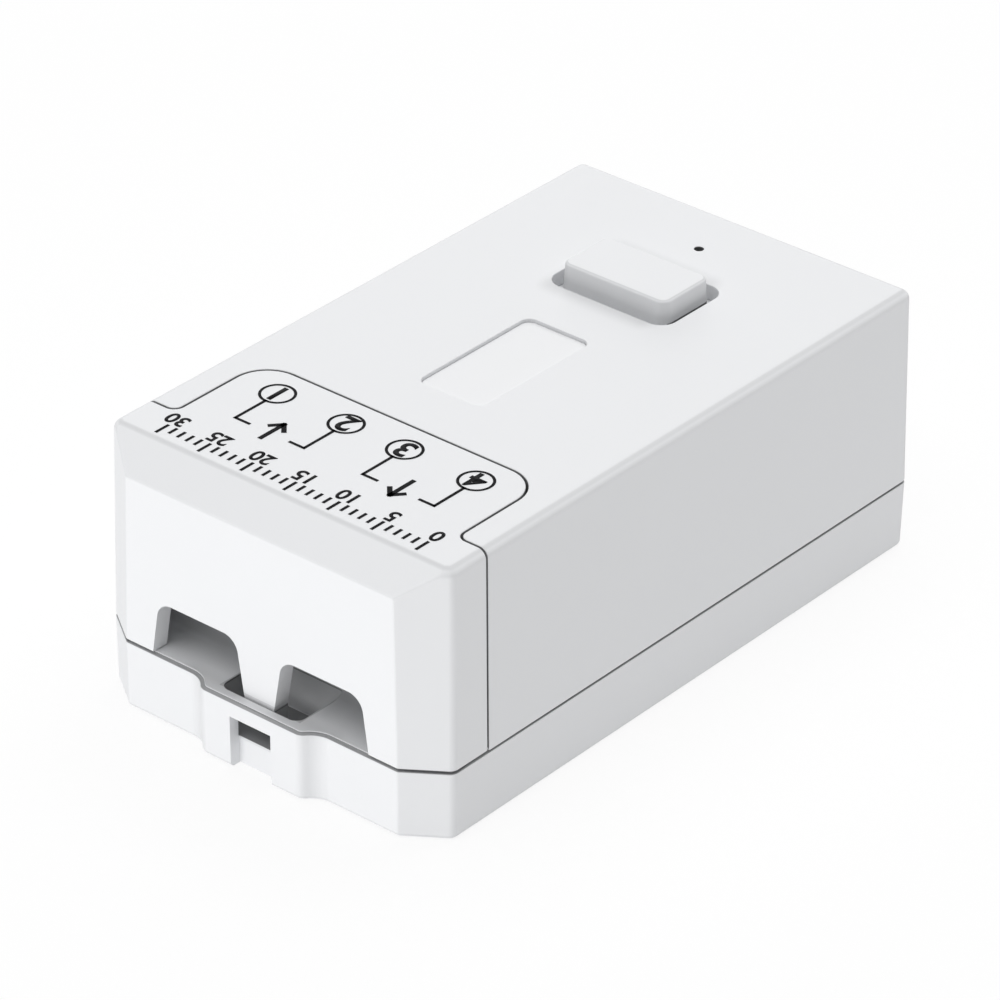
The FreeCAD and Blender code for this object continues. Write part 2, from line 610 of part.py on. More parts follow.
def upper_housing():
    """Upper shell, open at the front and under the cover's tab."""
    low = SPLIT_Z + HOUSING_GAP
    inner = upper_hollow(low - 1)
    form, zone = upper_form(low), cover_zone(SEAM / 2)
    shell = form.cut(zone).cut(inner)
    shell = shell.makeFillet(TOUCH_R, seam_edges(shell, form, zone))
    rebate = inset(upper_points(SPLIT_Z), LIP_INSET - LOOSE)
    shell = shell.cut(frustum(rebate, low - 1, rebate, SPLIT_Z + LIP_RISE + 2 * LOOSE))
    under = TOP_Z - TOP_WALL

    wall = box(-HALF_W, HALF_W, BULKHEAD_Y, BULKHEAD_BACK, BULKHEAD_Z, under)
    ledge = box(-TAB_HALF + TAB_R, TAB_HALF - TAB_R, BULKHEAD_Y - TAB_LEDGE, BULKHEAD_Y,
                under - COVER_GAP - TAB_LEDGE_T, under - COVER_GAP)
    shell = shell.fuse(wall.fuse(ledge).common(inner))

    for x, y in SCREW_PLACES:
        shell = shell.fuse(rod(x, y, BOARD_TOP + REST, under + TOP_WALL / 2, BOSS_R))
    for x, y in SCREW_PLACES:
        shell = shell.cut(rod(x, y, BOARD_TOP, SCREW_SINK + SCREW_L + 1, SCREW_R + RUN_FIT))

    flange_x, flange_y = HOLE_HALF_X + FLANGE_OVER + COLLAR_GAP, HOLE_HALF_Y + FLANGE_OVER + COLLAR_GAP
    collar = middle_box(0, BUTTON_Y, flange_x + COLLAR_T, flange_y + COLLAR_T, under - COLLAR_H, under)
    shell = shell.fuse(collar.cut(middle_box(0, BUTTON_Y, flange_x, flange_y, under - COLLAR_H - 1, under)))
    shell = shell.cut(rounded_box(0, BUTTON_Y, HOLE_HALF_X, HOLE_HALF_Y, HOLE_R, under - 1, TOP_Z + 1))

    shell = shell.fuse(rod(0, LED_Y, under - PIPE_SLEEVE_H, under, PIPE_R + RUN_FIT + PIPE_SLEEVE_T))
    shell = shell.cut(rod(0, LED_Y, under - PIPE_SLEEVE_H - 1, under, PIPE_R + RUN_FIT))
    shell = shell.cut(rod(0, LED_Y, under - 1, TOP_Z + 1, LED_HOLE_R))

    mid, reach = (WINDOW_Y0 + WINDOW_Y1) / 2, (WINDOW_Y1 - WINDOW_Y0) / 2
    floor = TOP_Z - WINDOW_DROP - PLATE_T
    shell = shell.cut(rounded_box(0, mid, WINDOW_HALF, reach, WINDOW_R, floor, TOP_Z + 1)).removeSplitter()
    rims = rim_edges(shell, mid, WINDOW_HALF, reach) + rim_edges(shell, BUTTON_Y, HOLE_HALF_X, HOLE_HALF_Y)
    return shell.makeFillet(TOUCH_R, rims)


def window_plate():
    """Glossy plate let into the recess of the top."""
    mid, reach = (WINDOW_Y0 + WINDOW_Y1) / 2, (WINDOW_Y1 - WINDOW_Y0) / 2
    top = TOP_Z - WINDOW_DROP
    return rounded_box(0, mid, WINDOW_HALF - REST, reach - REST, WINDOW_R - REST, top - PLATE_T, top)


def terminal_cover():
    """Snap-off cover over the wires, with its tab, cable openings and latch tongue."""
    low = SHELF_Z + COVER_GAP
    form, zone = upper_form(low), cover_zone(-SEAM / 2)
    room = upper_hollow(low - 1).cut(box(-HALF_W, HALF_W, 0, FRONT_WALL, 0, TOP_Z))
    cover = form.common(zone).cut(room)
    cover = cover.makeFillet(TOUCH_R, seam_edges(cover, form, zone))
    drop = (CABLE_TOP - low) / (CABLE_TOP - low + 2)
    opening = [(CABLE_IN_TOP, CABLE_TOP, CABLE_R),
               (CABLE_IN_TOP - (CABLE_IN_TOP - CABLE_IN_LOW) / drop, low - 2, 0),
               (CABLE_OUT_TOP + (CABLE_OUT_LOW - CABLE_OUT_TOP) / drop, low - 2, 0),
               (CABLE_OUT_TOP, CABLE_TOP, CABLE_R)]
    for side in (1, -1):
        outline = [(side * x, z, r) for x, z, r in opening]
        cover = cover.cut(prism(outline, upright(-1), (0, FRONT_WALL + 2, 0)))
    end = low - TONGUE_DOWN
    tongue = box(-TONGUE_HALF, TONGUE_HALF, 0, FRONT_WALL, end, low + 1)
    nose = prism([(0, end, 0), (-NOSE, end + NOSE_H / 2, 0), (-NOSE, end + NOSE_H, 0), (0, end + NOSE_H, 0)],
                 side_on(-TONGUE_HALF), (2 * TONGUE_HALF, 0, 0))
    return cover.fuse(tongue).fuse(nose).removeSplitter()


def case_screws():
    """Self-tapping screws from below, with a cross recess in each head."""
    screws = []
    head_top = SCREW_SINK + SCREW_HEAD_H
    for x, y in SCREW_PLACES:
        screw = rod(x, y, SCREW_SINK, head_top, SCREW_HEAD_R).fuse(
            rod(x, y, head_top, SCREW_SINK + SCREW_L, SCREW_R))
        for along, across in ((CROSS_REACH, CROSS_HALF), (CROSS_HALF, CROSS_REACH)):
            screw = screw.cut(middle_box(x, y, along, across, SCREW_SINK - 1, SCREW_SINK + CROSS_DEEP))
        screws.append(screw.removeSplitter())
    return screws


def pairing_button():
    """Cap, neck, hidden flange and the stem that meets the switch."""
    under = TOP_Z - TOP_WALL
    lean = (CAP_RISE + CAP_LOW) * math.tan(math.radians(CAP_DRAFT))
    high = rounded_corners(0, BUTTON_Y, CAP_HALF_X, CAP_HALF_Y, CAP_R)
    low = rounded_corners(0, BUTTON_Y, CAP_HALF_X + lean, CAP_HALF_Y + lean, CAP_R + lean)
    outlines = [rounded_wire(low, flat(TOP_Z - CAP_LOW)), rounded_wire(high, flat(TOP_Z + CAP_RISE))]
    cap = Part.makeLoft(outlines, True, True)
    cap = cap.makeFillet(CAP_EDGE_R, level_edges(cap, TOP_Z + CAP_RISE))
    flange_top = under - FLANGE_GAP
    neck = middle_box(0, BUTTON_Y, CAP_HALF_X - NECK_IN, CAP_HALF_Y - NECK_IN, flange_top - REST,
                      TOP_Z - CAP_LOW)
    flange = middle_box(0, BUTTON_Y, HOLE_HALF_X + FLANGE_OVER, HOLE_HALF_Y + FLANGE_OVER,
                        flange_top - FLANGE_T, flange_top)
    stem = rod(0, BUTTON_Y, BOARD_TOP + PLUNGER_TOP + REST, flange_top - FLANGE_T / 2, STEM_R)
    return cap.fuse([neck, flange, stem]).removeSplitter()


def switch_body():
    body = middle_box(0, BUTTON_Y, SWITCH_HALF, SWITCH_HALF, BOARD_TOP, BOARD_TOP + SWITCH_H)
    hole_z = BOARD_TOP + SWITCH_H - PLUNGER_DEEP - PRESS - LOOSE
    return body.cut(rod(0, BUTTON_Y, hole_z, BOARD_TOP + SWITCH_H + 1, PLUNGER_R + LOOSE)).fuse(
        lead_rods(SWITCH_LEADS, BOARD_TOP + REST)).removeSplitter()


def switch_plunger():
    return rod(0, BUTTON_Y, BOARD_TOP + SWITCH_H - PLUNGER_DEEP, BOARD_TOP + PLUNGER_TOP, PLUNGER_R)


def light_pipe():
    top = TOP_Z - TOP_WALL
    pipe = rod(0, LED_Y, BOARD_TOP + LED_H + LED_AIR, top - REST, PIPE_R)
    return pipe.fuse(rod(0, LED_Y, top - 2 * REST, TOP_Z - PIPE_NUB_DOWN, PIPE_NUB_R))


def indicator_led():
    return middle_box(0, LED_Y, LED_HALF_X, LED_HALF_Y, BOARD_TOP, BOARD_TOP + LED_H)


def terminal_block(pole_xs):
    """Housing of neighbouring poles: a cell, a screw well, a wire entry and a bar slot for each."""
    x0, x1 = min(pole_xs) - BLOCK_SIDE, max(pole_xs) + BLOCK_SIDE
    block = box(x0, x1, BLOCK_Y0, BLOCK_Y1, BOARD_TOP, BLOCK_TOP)
    cell_top = CAGE_ROOM + REST
    cell_back = POLE_Y + CELL_HALF_Y
    pin_back = cell_back + 2 * LOOSE + PIN_T
    for x in pole_xs:
        block = block.cut(middle_box(x, POLE_Y, CELL_HALF_X, CELL_HALF_Y, BOARD_TOP + CELL_FLOOR, cell_top))
        block = block.cut(rod(x, POLE_Y, cell_top - 1, BLOCK_TOP + 1, CLAMP_HEAD_R + HEAD_WAY))
        mouth = V(x, BLOCK_Y0 - 1, BOARD_TOP + WIRE_Z)
        block = block.cut(Part.makeCylinder(WIRE_R, POLE_Y - BLOCK_Y0 + 1, mouth, V(0, 1, 0)))
        block = block.cut(box(x - BAR_HALF - LOOSE, x + BAR_HALF + LOOSE, cell_back, pin_back + LOOSE,
                              BOARD_TOP - 1, BOARD_TOP + BAR_Z + BAR_T + LOOSE))
    return block.removeSplitter()


def clamp_cage(x):
    """Rising cage, open to front and back, with the screw's thread in its head."""
    z = BOARD_TOP + CAGE_Z
    half_x, half_y = CELL_HALF_X - CAGE_GAP, CELL_HALF_Y - CAGE_GAP
    cage = middle_box(x, POLE_Y, half_x, half_y, z, z + CAGE_H)
    head = z + CAGE_H - CAGE_HEAD
    cage = cage.cut(middle_box(x, POLE_Y, half_x - CAGE_WALL, half_y + 1, z + CAGE_FOOT, head))
    return cage.cut(rod(x, POLE_Y, head - 1, z + CAGE_H + 1, THREAD_R))


def terminal_screw(x):
    """Clamp screw, whose tip bears on the current bar."""
    top = BLOCK_TOP - HEAD_WAY
    screw = rod(x, POLE_Y, BOARD_TOP + BAR_Z + BAR_T + REST, top - CLAMP_HEAD_H, THREAD_R - RUN_FIT)
    screw = screw.fuse(rod(x, POLE_Y, top - CLAMP_HEAD_H, top, CLAMP_HEAD_R))
    slot = middle_box(x, POLE_Y, CLAMP_HEAD_R + 1, SLOT_W / 2, top - SLOT_DEEP, top + 1)
    return screw.cut(slot).removeSplitter()


def terminal_bar(x):
    """Current bar through the cage, bent down behind it into a pin through the board."""
    z = BOARD_TOP + BAR_Z
    pin_front = POLE_Y + CELL_HALF_Y + 2 * LOOSE
    bar = box(x - BAR_HALF, x + BAR_HALF, POLE_Y - CELL_HALF_Y + 3 * LOOSE, pin_front + PIN_T, z, z + BAR_T)
    pin = middle_box(x, pin_front + PIN_T / 2, PIN_T / 2, PIN_T / 2, BOARD_Z - PIN_BELOW, z)
    return bar.fuse(pin).removeSplitter()


def lead_rods(places, top):
    """Leads that run down through the board from the height top."""
    rods = [rod(x, y, BOARD_Z - PIN_BELOW, top, LEAD_R) for x, y in places]
    return rods[0].fuse(rods[1:]) if len(rods) > 1 else rods[0]


def main_board():
    """Circuit board, with a hole for every screw, pin and lead."""
    mid, reach = (BOARD_Y0 + BOARD_Y1) / 2, (BOARD_Y1 - BOARD_Y0) / 2
    board = rounded_box(0, mid, BOARD_HALF, reach, BOARD_R, BOARD_Z, BOARD_TOP)
    holes = [rod(x, y, BOARD_Z - 1, BOARD_TOP + 1, SCREW_R + 2 * LOOSE) for x, y in SCREW_PLACES]
    pin_y = POLE_Y + CELL_HALF_Y + 2 * LOOSE + PIN_T / 2
    holes += [rod(x, pin_y, BOARD_Z - 1, BOARD_TOP + 1, PIN_HOLE_R) for x in POLE_XS]
    leads = (SWITCH_LEADS + RELAY_LEADS + BOBBIN_LEADS + FILM_LEADS + DISC_LEADS + FUSE_LEADS
             + BULK_LEADS + OUTPUT_LEADS + HEADER_LEADS + AERIAL_LEADS)
    holes += [rod(x, y, BOARD_Z - 1, BOARD_TOP + 1, LEAD_R + LEAD_HOLE) for x, y in leads]
    return board.cut(holes)


def relay_parts():
    """Sealed relay: base with pins, case, coil, yoke, hinged armature and fixed contact."""
    x, y, z = RELAY_X, RELAY_Y, BOARD_TOP
    half_x, half_y, w = RELAY_HALF_X, RELAY_HALF_Y, RELAY_WALL
    floor = z + RELAY_BASE_T
    base = middle_box(x, y, half_x, half_y, z, floor).fuse(lead_rods(RELAY_LEADS, z + REST))
    case = middle_box(x, y, half_x, half_y, floor, z + RELAY_H)
    case = case.cut(middle_box(x, y, half_x - w, half_y - w, floor - 1, z + RELAY_H - w))

    coil_y = y - COIL_AHEAD
    yoke_y = coil_y + COIL_R + 3 * LOOSE
    pole_z = z + YOKE_TOP + HINGE_AIR - POLE_GAP
    seat = floor + YOKE_T
    top_flange = pole_z - 2 * COIL_FLANGE_T
    coil = rod(x, coil_y, seat, pole_z, COIL_CORE_R)
    coil = coil.fuse([rod(x, coil_y, seat, seat + COIL_FLANGE_T, COIL_R),
                      rod(x, coil_y, seat, top_flange, COIL_WIRE_R),
                      rod(x, coil_y, top_flange, top_flange + COIL_FLANGE_T, COIL_R)])
    yoke = box(x - YOKE_HALF, x + YOKE_HALF, coil_y - COIL_R, yoke_y + YOKE_T, floor, seat)
    yoke = yoke.fuse(box(x - YOKE_HALF, x + YOKE_HALF, yoke_y, yoke_y + YOKE_T, floor, z + YOKE_TOP))

    arm_y = yoke_y + YOKE_T + ARM_AIR
    low = z + YOKE_TOP + HINGE_AIR
    plate = box(x - YOKE_HALF, x + YOKE_HALF, coil_y - COIL_R * 0.6, arm_y + ARM_T, low, low + YOKE_T)
    armature = plate.fuse(box(x - ARM_HALF, x + ARM_HALF, arm_y, arm_y + ARM_T, z + ARM_LOW, low))
    post_y = arm_y + ARM_T + CONTACT_AIR
    contact = middle_box(x, post_y + CONTACT_T / 2, ARM_HALF, CONTACT_T / 2, floor,
                         z + ARM_LOW + CONTACT_OVER)
    print("relay hinge x %.3f y %.3f z %.3f" % (x, yoke_y + YOKE_T - (BODY_L - BULGE) / 2, low))
    return {"relay_base": base, "relay_case": case, "relay_coil": coil, "relay_yoke": yoke.removeSplitter(),
            "relay_armature": armature.removeSplitter(), "relay_contacts": contact}


def transformer_parts():
    """Small mains transformer: core, bobbin with pins and winding."""
    x, y = CORE_X, CORE_Y
    low = BOARD_TOP + CORE_LIFT
    core = middle_box(x, y, CORE_HALF_X, CORE_HALF_Y, low, low + CORE_H)
    inner_low, inner_high = low + CORE_LEG, low + CORE_H - CORE_LEG
    for side in (1, -1):
        window_x = x + side * (CORE_MID + CORE_HALF_X - CORE_LEG) / 2
        window_half = (CORE_HALF_X - CORE_LEG - CORE_MID) / 2
        core = core.cut(middle_box(window_x, y, window_half, CORE_HALF_Y + 1, inner_low, inner_high))
    room_x = CORE_HALF_X - CORE_LEG - LOOSE
    reach_y = CORE_HALF_Y + BOBBIN_REACH
    z0, z1 = inner_low + LOOSE, inner_high - LOOSE
    leg = middle_box(x, y, CORE_MID + REST, CORE_HALF_Y + REST, z0 - 1, z1 + 1)
    tube = middle_box(x, y, CORE_MID + REST + BOBBIN_T, CORE_HALF_Y + REST + BOBBIN_T, z0, z1)
    bobbin = tube.fuse([middle_box(x, y, room_x, reach_y, z0, z0 + BOBBIN_T),
                        middle_box(x, y, room_x, reach_y, z1 - BOBBIN_T, z1)])
    foot_half = (reach_y - CORE_HALF_Y - LOOSE) / 2
    for side in (1, -1):
        foot_y = y + side * (reach_y - foot_half)
        bobbin = bobbin.fuse(middle_box(x, foot_y, room_x, foot_half, BOARD_TOP, z0 + REST))
    bobbin = bobbin.cut(leg).fuse(lead_rods(BOBBIN_LEADS, BOARD_TOP + REST))
    turns = middle_box(x, y, room_x - WINDING_IN, reach_y - WINDING_IN, z0 + BOBBIN_T, z1 - BOBBIN_T)
    turns = turns.makeFillet(WINDING_R, steep_edges(turns)).cut(tube)
    return {"transformer_core": core, "transformer_bobbin": bobbin.removeSplitter(),
            "transformer_winding": turns}


def can_capacitor(x, y, r, height, leads):
    """Electrolytic capacitor: a can with a rolled groove near its foot."""
    can = rod(x, y, BOARD_TOP, BOARD_TOP + height, r)
    can = can.makeFillet(r * CAN_ROUND, level_edges(can, BOARD_TOP + height))
    groove = Part.makeTorus(r, r * CAN_GROOVE, V(x, y, BOARD_TOP + CAN_GROOVE_Z), V(0, 0, 1))
    return can.cut(groove).fuse(lead_rods(leads, BOARD_TOP + REST))


def input_capacitor():
    block = middle_box(MIDDLE_X, FILM_Y, FILM_HALF_X, FILM_HALF_Y, BOARD_TOP, BOARD_TOP + FILM_H)
    block = block.makeFillet(FILM_R, steep_edges(block) + level_edges(block, BOARD_TOP + FILM_H))
    return block.fuse(lead_rods(FILM_LEADS, BOARD_TOP + REST))


def varistor():
    disc_z = BOARD_TOP + DISC_R + DISC_LIFT
    disc = Part.makeCylinder(DISC_R, DISC_T, V(DISC_X - DISC_T / 2, DISC_Y, disc_z), V(1, 0, 0))
    disc = disc.makeFillet(DISC_T / 4, disc.Edges[:1] + disc.Edges[2:])
    return disc.fuse(lead_rods(DISC_LEADS, disc_z))


def fuse():
    """Axial fusible resistor, lying on the board, its leads bent down at both ends."""
    z = BOARD_TOP + FUSE_R + LOOSE
    start, end = FUSE_LEADS[0][1], FUSE_LEADS[1][1]
    body = Part.makeCylinder(FUSE_R, FUSE_L, V(FUSE_X, (start + end - FUSE_L) / 2, z), V(0, 1, 0))
    wire = Part.makeCylinder(LEAD_R, end - start, V(FUSE_X, start, z), V(0, 1, 0))
    bends = [Part.makeSphere(LEAD_R, V(FUSE_X, y, z)) for y in (start, end)]
    return body.fuse([wire, lead_rods(FUSE_LEADS, z)] + bends)


def flat_chip(x, y, half_x, half_y, height, legs, pitch, floor=BOARD_TOP):
    """Moulded chip with a row of bent legs along each long side."""
    chip = middle_box(x, y, half_x, half_y, floor + CHIP_LIFT, floor + height)
    knee = floor + height / 2
    for side in (1, -1):
        for i in range(legs):
            leg_y = y + (i - (legs - 1) / 2) * pitch
            out = side * (half_x + LEG_OUT / 2)
            foot = middle_box(x + out, leg_y, LEG_OUT / 2, LEG_HALF, floor, floor + LEG_T)
            rise = middle_box(x + out, leg_y, LEG_T / 2, LEG_HALF, floor, knee)
            arm = middle_box(x + out - side * LEG_OUT / 4, leg_y, LEG_OUT / 4 + LEG_T / 2, LEG_HALF,
                             knee - LEG_T, knee)
            foot = foot.cut(middle_box(x + side * half_x, leg_y, (LEG_OUT - LEG_T) / 2, 1, floor - 1, knee))
            chip = chip.fuse([foot, rise, arm])
    return chip.removeSplitter()


def radio_pins():
    """Header between the two boards: a moulded strip and its pins."""
    y = HEADER_LEADS[0][1]
    x0, x1 = HEADER_LEADS[0][0] - HEADER_HALF, HEADER_LEADS[-1][0] + HEADER_HALF
    strip = box(x0, x1, y - HEADER_HALF, y + HEADER_HALF, BOARD_TOP, RADIO_Z)
    return strip.fuse(lead_rods(HEADER_LEADS, RADIO_TOP + HEADER_OVER))


def radio_board():
    board = middle_box(RADIO_X, RADIO_Y, RADIO_HALF_X, RADIO_HALF_Y, RADIO_Z, RADIO_TOP)
    return board.cut([rod(x, y, RADIO_Z - 1, RADIO_TOP + 1, LEAD_R + LEAD_HOLE) for x, y in HEADER_LEADS])


def antenna_coil():
    """Open coil of wire, whose first turn runs down into the board."""
    z = BOARD_TOP + AERIAL_WIRE_R + AERIAL_R + 2 * LOOSE
    helix = Part.makeHelix(AERIAL_PITCH, AERIAL_PITCH * AERIAL_TURNS, AERIAL_R)
    helix.rotate(V(0, 0, 0), V(1, 0, 0), -90)
    helix.translate(V(AERIAL_X, AERIAL_Y, z))
    section = Part.Wire(Part.makeCircle(AERIAL_WIRE_R, V(AERIAL_X + AERIAL_R, AERIAL_Y, z), V(0, 0, 1)))
    coil = Part.Wire(helix).makePipeShell([section], True, True)
    print("coil gap %.2f" % (AERIAL_PITCH - 2 * AERIAL_WIRE_R))
    tail = rod(AERIAL_X + AERIAL_R, AERIAL_Y, BOARD_Z - PIN_BELOW, z, AERIAL_WIRE_R)
    return coil.fuse(tail)


os.makedirs("parts", exist_ok=True)
save("base_shell", base_shell())
save("upper_housing", upper_housing())
save("window_plate", window_plate())
save("terminal_cover", terminal_cover())
save("case_screws", *case_screws())
save("pairing_button", pairing_button())
save("switch_body", switch_body())
save("switch_plunger", switch_plunger())
save("light_pipe", light_pipe())
save("indicator_led", indicator_led())
save("main_board", main_board())
save("terminal_block_in", terminal_block(POLE_XS[:2]))
save("terminal_block_out", terminal_block(POLE_XS[2:]))
for number, pole_x in enumerate(POLE_XS, 1):
    save("clamp_cage_%d" % number, clamp_cage(pole_x))
    save("terminal_screw_%d" % number, terminal_screw(pole_x))
save("terminal_bars", *[terminal_bar(x) for x in POLE_XS])
for node, piece in {**relay_parts(), **transformer_parts()}.items():
    save(node, piece)
save("input_capacitor", input_capacitor())
save("varistor", varistor())
save("fuse", fuse())
save("bulk_capacitor", can_capacitor(BULK_X, BULK_Y, BULK_R, BULK_H, BULK_LEADS))
save("output_capacitor", can_capacitor(OUTPUT_X, OUTPUT_Y, OUTPUT_R, OUTPUT_H, OUTPUT_LEADS))
save("rectifier", flat_chip(MIDDLE_X, RECTIFIER_Y, RECTIFIER_HALF_X, RECTIFIER_HALF_Y, RECTIFIER_H,
                            RECTIFIER_LEGS, RECTIFIER_PITCH))
save("power_chip", flat_chip(MIDDLE_X, POWER_Y, POWER_HALF_X, POWER_HALF_Y, POWER_H, POWER_LEGS,
                             POWER_PITCH))
save("control_chip", flat_chip(CONTROL_X, CONTROL_Y, CONTROL_HALF_X, CONTROL_HALF_Y, CONTROL_H,
                               FINE_LEGS, FINE_PITCH))
save("radio_board", radio_board())
save("radio_pins", radio_pins())
save("radio_chip", flat_chip(RADIO_X, RF_Y, RF_HALF_X, RF_HALF_Y, RF_H, FINE_LEGS, FINE_PITCH, RADIO_TOP))
save("radio_crystal", middle_box(RADIO_X, CRYSTAL_Y, CRYSTAL_HALF_X, CRYSTAL_HALF_Y, RADIO_TOP,
                                 RADIO_TOP + CRYSTAL_H))
save("antenna_coil", antenna_coil())
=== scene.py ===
"""Looks of the wired-in radio receiver: finishes, printed marks, studio and camera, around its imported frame."""
import json
import math

import bmesh
import bpy
from mathutils import Matrix, Vector
from mathutils.bvhtree import BVHTree

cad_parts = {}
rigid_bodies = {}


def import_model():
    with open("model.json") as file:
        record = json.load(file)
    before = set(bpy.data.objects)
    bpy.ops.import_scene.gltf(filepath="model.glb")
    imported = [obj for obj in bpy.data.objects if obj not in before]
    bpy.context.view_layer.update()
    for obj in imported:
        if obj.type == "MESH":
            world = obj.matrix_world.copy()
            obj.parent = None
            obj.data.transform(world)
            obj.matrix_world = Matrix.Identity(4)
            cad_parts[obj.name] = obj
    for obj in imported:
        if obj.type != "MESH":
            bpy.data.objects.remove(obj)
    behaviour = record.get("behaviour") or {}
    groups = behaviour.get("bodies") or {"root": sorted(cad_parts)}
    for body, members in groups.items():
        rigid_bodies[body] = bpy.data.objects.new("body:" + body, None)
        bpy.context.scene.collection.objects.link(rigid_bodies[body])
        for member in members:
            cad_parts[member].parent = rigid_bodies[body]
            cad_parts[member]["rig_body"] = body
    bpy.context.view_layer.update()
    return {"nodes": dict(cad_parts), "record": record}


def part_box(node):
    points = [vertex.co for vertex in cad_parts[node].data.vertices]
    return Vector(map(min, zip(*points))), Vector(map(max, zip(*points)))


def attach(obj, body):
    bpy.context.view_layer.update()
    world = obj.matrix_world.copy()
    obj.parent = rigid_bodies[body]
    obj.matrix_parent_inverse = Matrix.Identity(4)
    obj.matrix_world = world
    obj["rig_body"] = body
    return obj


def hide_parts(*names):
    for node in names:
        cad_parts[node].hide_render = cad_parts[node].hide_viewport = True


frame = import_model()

nodes = frame["nodes"]
slots = {part["node"]: part["material_slot"] for part in frame["record"]["subparts"]}
mm = 0.001
SHELLS = ("base_shell", "upper_housing", "terminal_cover", "pairing_button", "window_plate")

# Camera, solved from the edges of the object in the photograph
CAMERA_AZIMUTH = 39.6863     # degrees, seen from the front towards the right side
CAMERA_ELEVATION = 30.9726
CAMERA_ROLL = 0.6170
CAMERA_DISTANCE = 501.058 * mm
CAMERA_ASIDE = -1.0464 * mm  # from the aim point, to the camera's right
CAMERA_ABOVE = -1.1818 * mm
CAMERA_AIM = Vector((0, 0.725 * mm, 13.7 * mm))
LENS = 198.549
SENSOR_WIDTH = 36.0
NEAREST_SEEN = 0.01

# Studio. Lamps: name, azimuth, elevation, strength, angular size
LAMPS = (
    ("overhead_softbox", 0.0, 88.0, 1.32, 80.0),
    ("rear_softbox", 180.0, 45.0, 0.54, 50.0),
    ("upper_front_softbox", 0.0, 55.0, 0.30, 40.0),
    ("side_window", 232.0, 9.0, 0.5, 44.0),
    ("light_table", -5.0, -25.0, 1.28, 50.0),
)
AMBIENT = 0.31               # strength of the white surroundings as light
FLOOR_SIZE = 8
FLOOR_DROP = 0.05 * mm       # how far the floor lies under the feet of the case
FLOOR_COLOUR = (0.93, 0.93, 0.93)
FLOOR_BRIGHTNESS = 1.02      # of the floor's own glow
FLOOR_GLOW = 0.8             # share of that glow in the floor, where it is seen
FLOOR_LIGHT = 0.2            # and where it lights the object

# Printed marks on the cover, in millimetres of the part's frame
TOP_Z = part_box("terminal_cover")[1].z / mm
PRINT_LIFT = 0.012           # how far the print's underside stands off the plastic
PRINT_T = 0.012
RING_Y = -18.06              # middle of the four rings
RING_XS = (-11.45, -3.37, 3.42, 11.55)
RING_R = 1.6
RING_LINE = 0.28
RING_SEGMENTS = 72
NUMBER_H = 2.4
BOLD = 0.035                 # how far the outlines of the numbers are set out, as a share of their height
FIGURE_SHARE = 0.7           # height of a figure, as a share of the type size
FIGURE_STEPS = 6             # straight pieces to each curve of a figure
LEADER_DROP = 3.95           # from the ring's lower edge to the corner of the leader
LEADER_RUN = 1.6
LINE_W = 0.32
ARROW_L = 3.0
ARROW_W = 0.48
ARROW_HEAD_X = 0.8
ARROW_HEAD_Y = 0.9
ARROW_RISE = 0.4             # of the arrow's middle over the corners of the leaders
SCALE_X = 15.0               # of the scale's zero
SCALE_STEP = 1.0
SCALE_STEPS = 30
STEPS_TO_NUMBER = 5
SCALE_Y = -28.5
LONG_TICK = 1.4
SHORT_TICK = 0.8
SCALE_NUMBER_H = 1.6
SCALE_NUMBER_UP = 1.25       # from the ticks to the middle of their number

# Painted shade and light of the moulded shells: share of light kept by the slant of the surface, which is 90 where it
# faces up
PAINTED_SLANT_SHADES = ((-90, 1.0), (-70, 0.95), (-45, 0.86), (-20, 0.86), (-5, 0.97), (0, 1.0), (12, 0.98), (21, 0.95),
              (30, 1.0), (38, 1.02), (46, 1.02), (52, 0.96), (58, 0.89), (66, 0.85), (74, 0.86), (81, 0.94), (90, 1.0))

# Painted shade in places that light hardly reaches: middle, half size and border (all in millimetres), share of light
# kept
SHELL_PAINTED_SHADES = (
    ((0.0, 0.7, 6.93), (30.0, 40.0, 0.05), (1.0, 1.0, 0.03), 0.5),     # rim of the base
    ((0.0, -34.3, 7.3), (8.0, 0.9, 0.2), (2.0, 1.6, 0.02), 0.82),      # front strip of the shelf
    ((0.0, -27.0, 14.0), (14.0, 4.0, 3.0), (0.5, 0.5, 3.5), 0.6),      # upper part of the cable bay
    ((0.0, -30.36, 4.8), (4.7, 3.13, 2.2), (0.1, 0.05, 0.2), 0.45),    # well under the cover's middle
    ((0.0, 27.64, 26.2), (0.6, 0.6, 1.0), (0.1, 0.1, 0.08), 0.14),     # depth of the indicator hole
    ((-0.6, 18.2, 27.3), (5.2, 4.4, 1.0), (2.0, 2.4, 1.0), 0.82),      # painted shadow in front of the button
)
BUTTON_PAINTED_SHADES = (
    ((6.6, 18.2, 26.0), (0.5, 3.2, 0.66), (0.1, 0.2, 0.14), 0.12),     # in the gap on its right
)
ASKEW_PAINTED_SHADE = 0.84           # painted shade: share kept by a wall in the direction of both x and y, as on a chamfer
GAP_REACH = 0.3              # faces nearer than this to another shell's, in mm, are the walls of a seam
GAP_SHARE = 0.3              # share of light kept on a seam's walls, as painted shade
GAP_FACING = -0.9            # product of the normals of two faces that look at one another
GAP_INSET = 0.1              # how far inside a face's corners it is measured, as a share of the way to its middle
UPRIGHT = 0.5                # normals flatter than this belong to upright walls
LEVEL_MARK = 0.55            # how much of the seam's painted shade a level face takes

# Normals of the shells
SAME_PLANE = math.cos(math.radians(0.3))
SHARP_ANGLE = math.radians(32)
FLAT_SHARE = 4               # how many times larger a flat face is than the rounding beside it
SAME_POINT = 1e-6
NO_LENGTH = 1e-7

